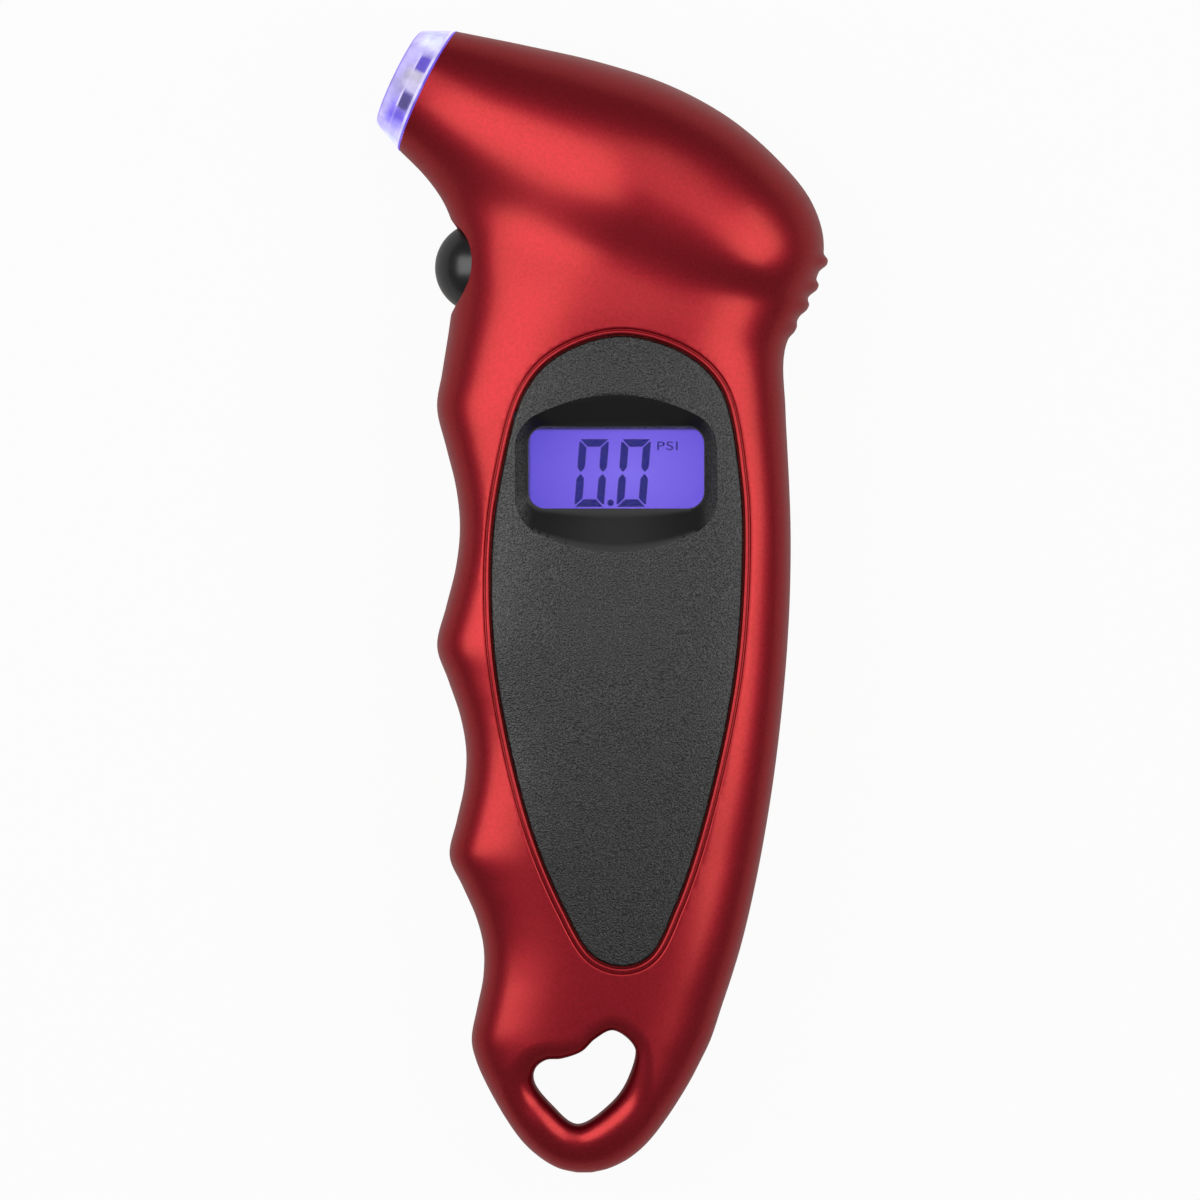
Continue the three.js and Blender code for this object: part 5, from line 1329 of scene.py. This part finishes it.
def clearCollar():
    form = collarForm
    profile = [
        (form["spigot"], -form["spigotLength"]), (form["spigot"], form["gap"]), (form["base"], form["gap"]),
    ]
    straight = form["length"] - form["corner"]
    profile.append((form["base"] - (form["base"] - form["tip"]) * straight / form["length"], straight))
    for i in range(1, form["cornerSteps"] + 1):
        angle = math.pi / 2 * i / form["cornerSteps"]
        radius = form["tip"] - form["corner"] * (1 - math.cos(angle)) + form["cornerLean"] * math.cos(angle)
        profile.append((radius, straight + form["corner"] * math.sin(angle)))
    collar = turnedForm("nozzle_ring", profile, steps=96)
    bore = turnedForm("bore", [(form["bore"], -form["spigotLength"] - form["clear"]),
                               (form["bore"], form["length"] + form["clear"])], steps=96)
    combine(collar, [bore])
    collar.data.transform(noseTurn @ noseShear @ Matrix.Rotation(-math.pi / 2, 4, "X"))
    start, end = form["lampPocket"]
    for side in (1, -1):
        combine(collar, [noseBar("lamp_pocket", noseForm["ledBore"], start, end,
                                 side * noseForm["led"], steps=32)])
    return finishPiece(collar, "litAcrylic", "housing", ["nozzle_collar"])


# Pan-head screw with a cross recess, modelled once at the origin, head down
def screwPattern(head, headThick, shank, length):
    flat, brow = screwForm["flat"], screwForm["brow"]
    profile = [(screwForm["topFace"], -headThick), (head * flat, -headThick)]
    steps = 5
    for i in range(1, steps + 1):
        angle = math.pi / 2 * i / steps
        profile.append((head * (flat + (1 - flat) * math.sin(angle)),
                        -headThick * (brow + (1 - brow) * math.cos(angle))))
    profile += [(head, 0.0), (shank, 0.0), (shank, length - shank), (screwForm["tipFace"], length)]
    body = turnedForm("pattern", profile, steps=48)
    reach, slot, deep = screwForm["cross"]
    arm, slot = head * reach, head * slot
    for halfX, halfY in ((arm, slot), (slot, arm)):
        cross = blockForm("cross", (-halfX, -halfY, -headThick - 1), (halfX, halfY, -headThick * (1 - deep)))
        cross.data.transform(Matrix.Translation(-shift))
        combine(body, [cross])
    return body


# Copies of one screw at their places, each turned as its driver left it
def placeScrews(pattern, name, node, body, places, seatZ, turns):
    for i, ((x, y), turn) in enumerate(zip(places, turns)):
        screw = copyOf(pattern, f"{name}_{i + 1}")
        screw.data.transform(Matrix.Translation(at(x, y, seatZ - screwForm["sink"]))
                             @ Matrix.Rotation(turn, 4, "Z"))
        finishPiece(screw, "steel", body, [f"{node}_{i + 1}"])
    bpy.data.objects.remove(pattern)


def allScrews():
    case, bay = screwForm, bayForm
    pattern = screwPattern(case["head"], case["headThick"], case["shank"], case["length"])
    placeScrews(pattern, "casing_screw", "case_screw", "housing", case["case"], case["seatZ"],
                (0.0, 0.4, 0.8))
    pattern = screwPattern(bay["screwHead"], bay["screwHeadThick"], bay["screwShank"], bay["screwLength"])
    placeScrews(pattern, "door_screw", "battery_door_screw", "door", doorPlan()[3], bay["screwSeatZ"],
                (0.3, 1.3))


def batteryDoor():
    bay = bayForm
    centre, width, height, screws = doorPlan()
    door = prismForm("battery_hatch", roundedLoop(centre, width, height, bay["doorCorner"] - bay["doorGap"]),
                     0.0, bay["doorThick"] - bay["doorSink"])
    pick(door)
    bevel, segments, leastAngle = bay["bevel"]
    soften = door.modifiers.new("soften", "BEVEL")
    soften.width = bevel * mm
    soften.segments = segments
    soften.angle_limit = math.radians(leastAngle)
    bpy.ops.object.modifier_apply(modifier=soften.name)
    foot = bay["below"][1]
    cutters = []
    for place in screws:
        for name, radius, top in (("hole", bay["screwShank"] + bay["screwGap"], -foot),
                                  ("seat", bay["screwHead"] + bay["seatGap"], bay["screwSeatZ"])):
            cutters.append(barForm(name, "z", radius, foot, top, place))
    combine(door, cutters)
    finishPiece(door, "lacquer", "door", ["battery_door"])
    # normals weighted by area keep its flat face evenly lit
    evenLight = door.modifiers.new("even_light", "WEIGHTED_NORMAL")
    evenLight.keep_sharp = True
    bpy.ops.object.modifier_apply(modifier=evenLight.name)
    return door


buttonDome()
clearCollar()
allScrews()
batteryDoor()
print("button, nozzle, screws and door made")


# Pieces that keep their shape only get a finish.
keptFinishes = {
    "lcd": ["lcd_glass"],
    "whitePlastic": ["lcd_holder"],
    "acrylic": ["backlight_guide"],
    "ledLight": ["backlight_led", "nozzle_led_1", "nozzle_led_2"],
    "rubber": ["lcd_contact_strip", "valve_seal"],
    "solderMask": ["main_board"],
    "epoxy": ["controller_blob"],
    "blackPlastic": ["power_capacitor", "pressure_sensor", "switch_plunger"],
    "ceramic": ["filter_capacitor"],
    "silicone": ["pressure_hose"],
    "insulation": ["led_wire_1", "led_wire_2"],
    "brass": ["depressor_pin"],
    "steel": ["board_screw_1", "board_screw_2", "board_screw_3"],
    "nickel": [
        "crystal_can", "tact_switch", "valve_inlet", "coin_cell", "button_cell_1", "button_cell_2",
        "button_cell_3", "coin_contact_minus", "coin_contact_plus", "cell_contact_minus", "cell_contact_plus",
    ],
}
for finish, nodeNames in keptFinishes.items():
    for nodeName in nodeNames:
        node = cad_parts[nodeName]
        node.data.materials.clear()
        node.data.materials.append(finishes[finish])
print("kept pieces painted:", sum(len(nodeNames) for nodeNames in keptFinishes.values()))
